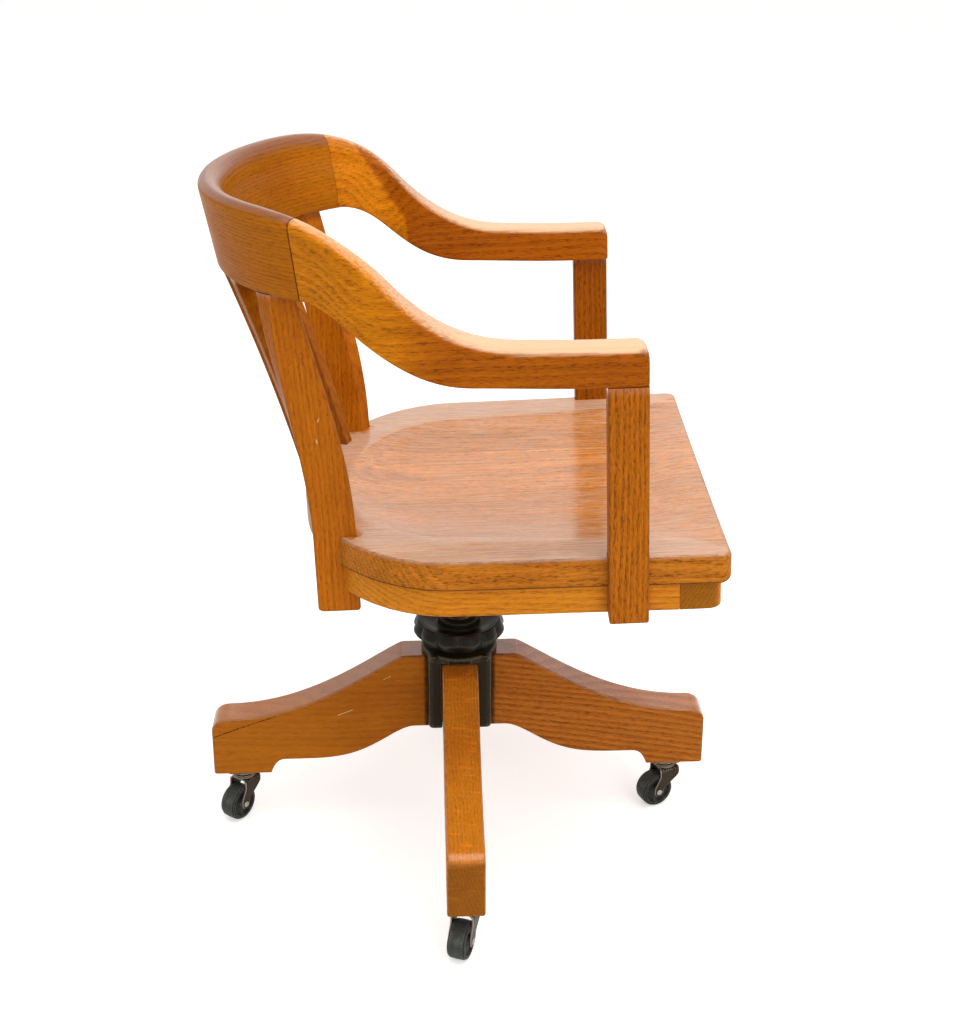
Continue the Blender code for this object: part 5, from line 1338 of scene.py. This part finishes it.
# Tilting iron under the seat
def slottedScrew(radius, height):
    # a round head with its slot, standing on z = 0 and pointing up
    dome = [(radius * out, height * up) for out, up in quarter(6)]
    head = lathe("screwHead", [(0.0, -0.001), (radius, -0.001)] + dome, 20)
    slot = blockMesh("screwSlot", (-0.16 * radius, -2 * radius, 0.45 * height),
                     (0.16 * radius, 2 * radius, 2 * height))
    return cutAway("screwHead", head, [slot])


addPiece("seatIron", paint(casting("seat_iron", 0.0016, 4)), castIron, "seat", ["seat_iron"])
addPiece("tiltYoke", paint(casting("tilt_yoke", 0.0013, 4)), castIron, "spindle", ["tilt_yoke"])

axle = {"radius": 0.006, "head": 0.010, "headThick": 0.004}


def buildTiltAxle():
    half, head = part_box("tilt_axle")[1].x, axle["head"]
    neck = half - axle["headThick"]
    end = [(axle["radius"], neck), (head, neck), (head, half), (0.0, half)]
    radii = [0.0004, 0.0006, 0.0012, 0.0]
    corners = [(r, -z) for r, z in reversed(end)] + end
    profile = roundedOutline(corners, radii[::-1] + radii, 3, [3, 1, 1, 12, 1, 1, 3, 0])
    mesh = lathe("tiltAxle", profile, 40)
    mesh.transform(Matrix.Translation(tiltPoint) @ acrossX)
    return mesh


addPiece("tiltAxle", paint(buildTiltAxle()), agedSteel, "seat", ["tilt_axle"])

spring = {
    "wire": 0.0022, "curls": 3.5, "pitch": 0.0050, "points": 36, "barrel": 0.0120, "boss": 0.0235,
    "foot": 0.016}
seatIron = {
    "drop": 0.0447, "plate": 0.006, "screws": (0.082, 0.132), "screwRadius": 0.0050, "screwHeight": 0.0028}
ironUnder = seatIron["drop"] - clear - seatIron["plate"]    # above the tilt axle


def springRoute(side):
    wire = spring["wire"]
    coil = (spring["barrel"] + wire + clear) / math.cos(math.pi / 9)
    barrelHalf = spring["boss"] + spring["curls"] * spring["pitch"] + 4 * wire
    startX = barrelHalf - 1.5 * wire
    points = [Vector((side * startX, coil, z)) for z in (ironUnder - wire - clear, 0.5 * ironUnder)]
    for k in range(round(spring["curls"] * spring["points"]) + 1):
        turn = 2 * math.pi * k / spring["points"]
        x = startX - spring["pitch"] * k / spring["points"]
        points.append(Vector((side * x, coil * math.cos(turn), -coil * math.sin(turn))))
    endX = startX - spring["pitch"] * spring["curls"]
    return points + [Vector((side * endX, points[-1].y, -spring["foot"]))]


for sideName, side in bothSides:
    curve = bpy.data.curves.new(f"tiltSpring{sideName}", "CURVE")
    curve.dimensions = "3D"
    curve.bevel_depth = spring["wire"]
    curve.bevel_resolution = 4
    curve.use_fill_caps = True
    route = springRoute(side)
    run = curve.splines.new("POLY")
    run.points.add(len(route) - 1)
    for knot, point in zip(run.points, route):
        knot.co = (*point, 1.0)
    mesh = finished(helper(f"tiltSpring{sideName}", curve), f"tiltSpring{sideName}")
    mesh.transform(Matrix.Translation(tiltPoint))
    mesh.shade_smooth()
    addPiece(f"tiltSpring{sideName}", paint(mesh), agedSteel, "seat", [f"tilt_spring_{sideName.lower()}"],
             seatPlace)
screwMesh = slottedScrew(seatIron["screwRadius"], seatIron["screwHeight"])


def screwBelow(spot, turn, scale=1.0):
    # a screw driven up from below, its slot turned some way round
    facing = Matrix.Rotation(math.pi, 4, "X") @ Matrix.Rotation(turn, 4, "Z")
    return copied(screwMesh, Matrix.Translation(spot) @ facing @ Matrix.Scale(scale, 4))


ironScrews = []
for quarterTurn in range(4):
    angle = math.radians(45.0 + 90.0 * quarterTurn)
    for reach in seatIron["screws"]:
        ironScrews.append(screwBelow(atAngle(reach, angle, tiltPoint.z + ironUnder), 99.0 * reach))
screwSet = paint(joined("seatIronScrews", ironScrews))
addPiece("seatIronScrews", screwSet, agedSteel, "seat", [], seatPlace)
print("tilting iron: casting, yoke, axle, springs and screws")

# Castors, built with the swivel axis as Z and the wheel trailing along +Y
plateTop = castor["height"] - clear
plateUnder = plateTop - castor["plateThick"]
raceUnder = plateUnder - castor["raceThick"]
crownTop = raceUnder - clear
cheekInner = castor["wheelWidth"] / 2 + castor["wheelGap"]


def buildCastorPlate():
    half = castor["plate"] / 2
    square = roundedBox((-half, -half), (half, half), [castor["plateCorner"]] * 4, 6, [8, 8])
    plate = pillow("castorPlate", square, plateUnder, plateTop, castor["plateEdge"])
    # the race: a lower and an upper cup with the balls' gap between them
    bore, reach, middle = castor["raceBore"], castor["raceRadius"], raceUnder + 0.5 * castor["raceThick"]
    groove = reach - castor["raceGroove"]
    corners = [(bore, raceUnder), (reach, raceUnder), (reach, middle - 0.0012), (groove, middle - 0.0006),
               (groove, middle + 0.0006), (reach, middle + 0.0012), (reach, plateUnder), (bore, plateUnder)]
    radii = [0.0, 0.0022, 0.0006, 0.0004, 0.0004, 0.0008, 0.0, 0.0]
    race = lathe("castorRace", roundedOutline(corners, radii, 4, [4, 1, 0, 0, 0, 1, 4, 1]))
    return joined("castorPlate", [plate, race])


def cheekSpan(outline, z):
    # how far the cheek reaches back and forth at a height
    crossings = []
    for a, b in zip(outline, outline[1:] + outline[:1]):
        if (a.y - z) * (b.y - z) <= 0.0 and a.y != b.y:
            crossings.append(a.x + (b.x - a.x) * (z - a.y) / (b.y - a.y))
    return min(crossings), max(crossings)


def buildFork():
    # one strip of sheet bent over the wheel: up one cheek, across the crown and down the other
    end, lead, tail = castor["cheekEnd"], castor["crownLead"], castor["crownTail"]
    trail, hub = castor["trail"], castor["wheelRadius"]
    crownUnder = crownTop - castor["crownDepth"]
    outline = roundedOutline(
        [(-lead, crownTop), (tail, crownTop), (tail, crownUnder), (trail + end, hub + end),
         (trail + end, hub - end), (trail - end, hub - end), (trail - end, hub + 0.6 * end),
         (-lead, crownUnder)],
        [0.002, 0.002, 0.008, 0.008, 0.99 * end, 0.99 * end, 0.0048, 0.008], 8)
    sheet, low = castor["sheet"], hub - end
    bend = castor["crownRound"] - sheet / 2
    side, top = cheekInner + sheet / 2, crownTop - sheet / 2
    stations = [(side, low + 0.0001 + (top - bend - low) * (1 - out), 0.0) for out, up in quarter(22)]
    stations += [(side - bend + bend * out, top - bend + bend * up, math.asin(up))
                 for out, up in quarter(7)[1:]]
    stations += [((side - bend) * (1 - k / 4), top, math.pi / 2) for k in range(1, 5)]
    stations += [(-x, z, math.pi - turn) for x, z, turn in reversed(stations[:-1])]
    rings = []
    for x, z, turn in stations:
        near, far = cheekSpan(outline, min(z + sheet / 2 * math.sin(turn), crownTop - 0.0002))
        wide = max(far - near, 0.002)
        section = roundedBox((-sheet / 2, 0.0), (sheet / 2, wide), [castor["sheetEdge"]] * 4, 3, [0, 8])
        rings.append([(x + p.x * math.cos(turn), (near + far - wide) / 2 + p.y, z + p.x * math.sin(turn))
                      for p in section])
    return loft("castorFork", rings)


def buildCastorWheel():
    radius, half, bore = castor["wheelRadius"], castor["wheelWidth"] / 2, castor["axleRadius"] + running
    side = [(bore, half), (0.30 * radius, half), (0.36 * radius, 0.76 * half), (0.70 * radius, 0.76 * half),
            (0.76 * radius, half), (0.92 * radius, 0.96 * half), (0.985 * radius, 0.72 * half)]
    corners = side + [(radius, 0.0)] + [(r, -z) for r, z in reversed(side)]
    radii = [0.0003, 0.0010, 0.0008, 0.0009, 0.0008, 0.0016, 0.0030]
    fills = [1, 0, 4, 0, 1, 0, 0]
    profile = roundedOutline(corners, radii + [0.012] + radii[::-1], 4, fills + fills[::-1] + [4])
    return lathe("castorWheel", profile, 72)


def buildRivet():
    outer = cheekInner + castor["sheet"] + clear
    dome = [(castor["rivetRadius"] * out, outer + castor["rivetHeight"] * up) for out, up in quarter(6)]
    end = [(castor["axleRadius"], outer)] + dome
    return lathe("castorRivet", [(r, -z) for r, z in reversed(end)] + end, 28)


platePiece, forkPiece = buildCastorPlate(), buildFork()
wheelPiece, rivetPiece = buildCastorWheel(), buildRivet()
for mesh in (wheelPiece, rivetPiece):
    mesh.transform(acrossX)
plateScrews = []
for k, (x, y) in enumerate(((-1, -1), (1, -1), (-1, 1), (1, 1))):
    spot = castor["screwPlace"] * x, castor["screwPlace"] * y, plateUnder
    plateScrews.append(screwBelow(spot, 0.7 * k + 0.3, castor["screwScale"]))
screwSet = joined("castorScrews", plateScrews)
for mesh in (platePiece, forkPiece, wheelPiece, rivetPiece, screwSet):
    paint(mesh)
for legName, degrees in legTurns.items():
    title = legName.capitalize()
    swivel = Vector(joints[f"castor_swivel_{legName}"]["pos_m"])
    spin = joints[f"wheel_spin_{legName}"]
    standing = Matrix.Translation((swivel.x, swivel.y, 0.0))
    turned = standing @ Matrix.Rotation(math.atan2(spin["axis"][1], spin["axis"][0]), 4, "Z")
    level = standing @ basePlace @ Matrix.Rotation(math.radians(degrees), 4, "Z")
    onAxle = turned @ Matrix.Translation((0.0, castor["trail"], castor["wheelRadius"]))
    for kind, mesh, metal, body, nodes, slot, place in (
            ("Plate", platePiece, bronzedSteel, "base", ["castor_plate"], "bronze", level),
            ("Screws", screwSet, agedSteel, "base", [], "steel", level),
            ("Fork", forkPiece, bronzedSteel, f"castor_{legName}", ["castor_fork"], "bronze", turned),
            ("Rivet", rivetPiece, agedSteel, f"castor_{legName}", ["castor_axle"], "steel", onAxle),
            ("Wheel", wheelPiece, hardTread, f"wheel_{legName}", ["castor_wheel"], "tread", onAxle)):
        replaced = [f"{node}_{legName}" for node in nodes]
        addPiece(f"castor{kind}{title}", mesh.copy(), metal, body, replaced, place)
print("castors: four, with screws and rivets")


# Floor, light and camera
def seenByRays(tree):
    # 1 where the camera or a reflection looks, 0 where a surface gathers light
    light = addNode(tree, "LightPath")
    return calc("MAXIMUM", *(Wire(tree, light.outputs[f"Is {kind} Ray"]) for kind in ("Camera", "Glossy")))


def makeFloor():
    shape = bmesh.new()
    bmesh.ops.create_grid(shape, x_segments=2, y_segments=2, size=9.0)
    floor = helper("studioFloor", meshOf("studioFloor", shape))
    material, tree, shader = newMaterial("paleFloor")
    feedAll(tree, shader, Base_Color=(0.86, 0.85, 0.84, 1), Roughness=0.9, Specular_IOR_Level=0.1,
            Emission_Color=(1, 1, 1, 1), Emission_Strength=seenByRays(tree) * 0.5)
    floor.data.materials.append(material)


def makeWorld():
    world = bpy.data.worlds.new("whiteRoom")
    world.use_nodes = True
    scene.world = world
    tree = world.node_tree
    feedAll(tree, tree.nodes["Background"], Color=(1.0, 0.985, 0.97, 1),
            Strength=seenByRays(tree) * 0.42 + 0.58)


def addSoftbox(name, spot, aim, size, power):
    lamp = bpy.data.lights.new(name, "AREA")
    lamp.size = size
    lamp.energy = power
    lamp.color = (1.0, 0.97, 0.94)
    thing = helper(name, lamp)
    thing.visible_camera = False
    thing.location = spot
    thing.rotation_euler = (Vector(aim) - Vector(spot)).to_track_quat("-Z", "Y").to_euler()


makeFloor()
makeWorld()
addSoftbox("topSoftbox", (-0.5, -0.3, 2.9), (0.0, 0.0, 0.4), 2.4, 62.0)
addSoftbox("sideSoftbox", (-2.4, -1.6, 1.9), (0.0, 0.0, 0.5), 1.6, 22.0)
addSoftbox("rearSoftbox", (2.7, -0.2, 1.9), (0.0, 0.0, 0.5), 2.2, 8.0)

camera = {"spot": (-1.791, 0.007, 1.257), "yaw": math.radians(-2.39), "pitch": math.radians(20.66),
          "roll": math.radians(0.47), "focal": 1618.0, "shift": (-38.0, -124.0), "long": 1024.0, "sensor": 36.0}


def makeCamera():
    # at the photograph's place, looking along +X; pixel sizes are those of the 954 x 1024 frame
    yaw, pitch, roll = camera["yaw"], camera["pitch"], camera["roll"]
    ahead = Vector((math.cos(yaw), math.sin(yaw), 0.0))
    right = Vector((math.sin(yaw), -math.cos(yaw), 0.0))
    up = Vector((0.0, 0.0, 1.0))
    view = ahead * math.cos(pitch) - up * math.sin(pitch)
    rise = up * math.cos(pitch) + ahead * math.sin(pitch)
    across = right * math.cos(roll) + rise * math.sin(roll)
    upright = rise * math.cos(roll) - right * math.sin(roll)
    lens = bpy.data.cameras.new("camera")
    lens.sensor_width = camera["sensor"]
    lens.lens = camera["focal"] * camera["sensor"] / camera["long"]
    lens.shift_x, lens.shift_y = (pixels / camera["long"] for pixels in camera["shift"])
    lens.clip_start, lens.clip_end = 0.05, 60.0
    thing = helper("camera", lens)
    matrix = Matrix((across, upright, -view)).transposed().to_4x4()
    matrix.translation = Vector(camera["spot"])
    thing.matrix_world = matrix
    scene.camera = thing


makeCamera()
scene.view_settings.view_transform = "Standard"
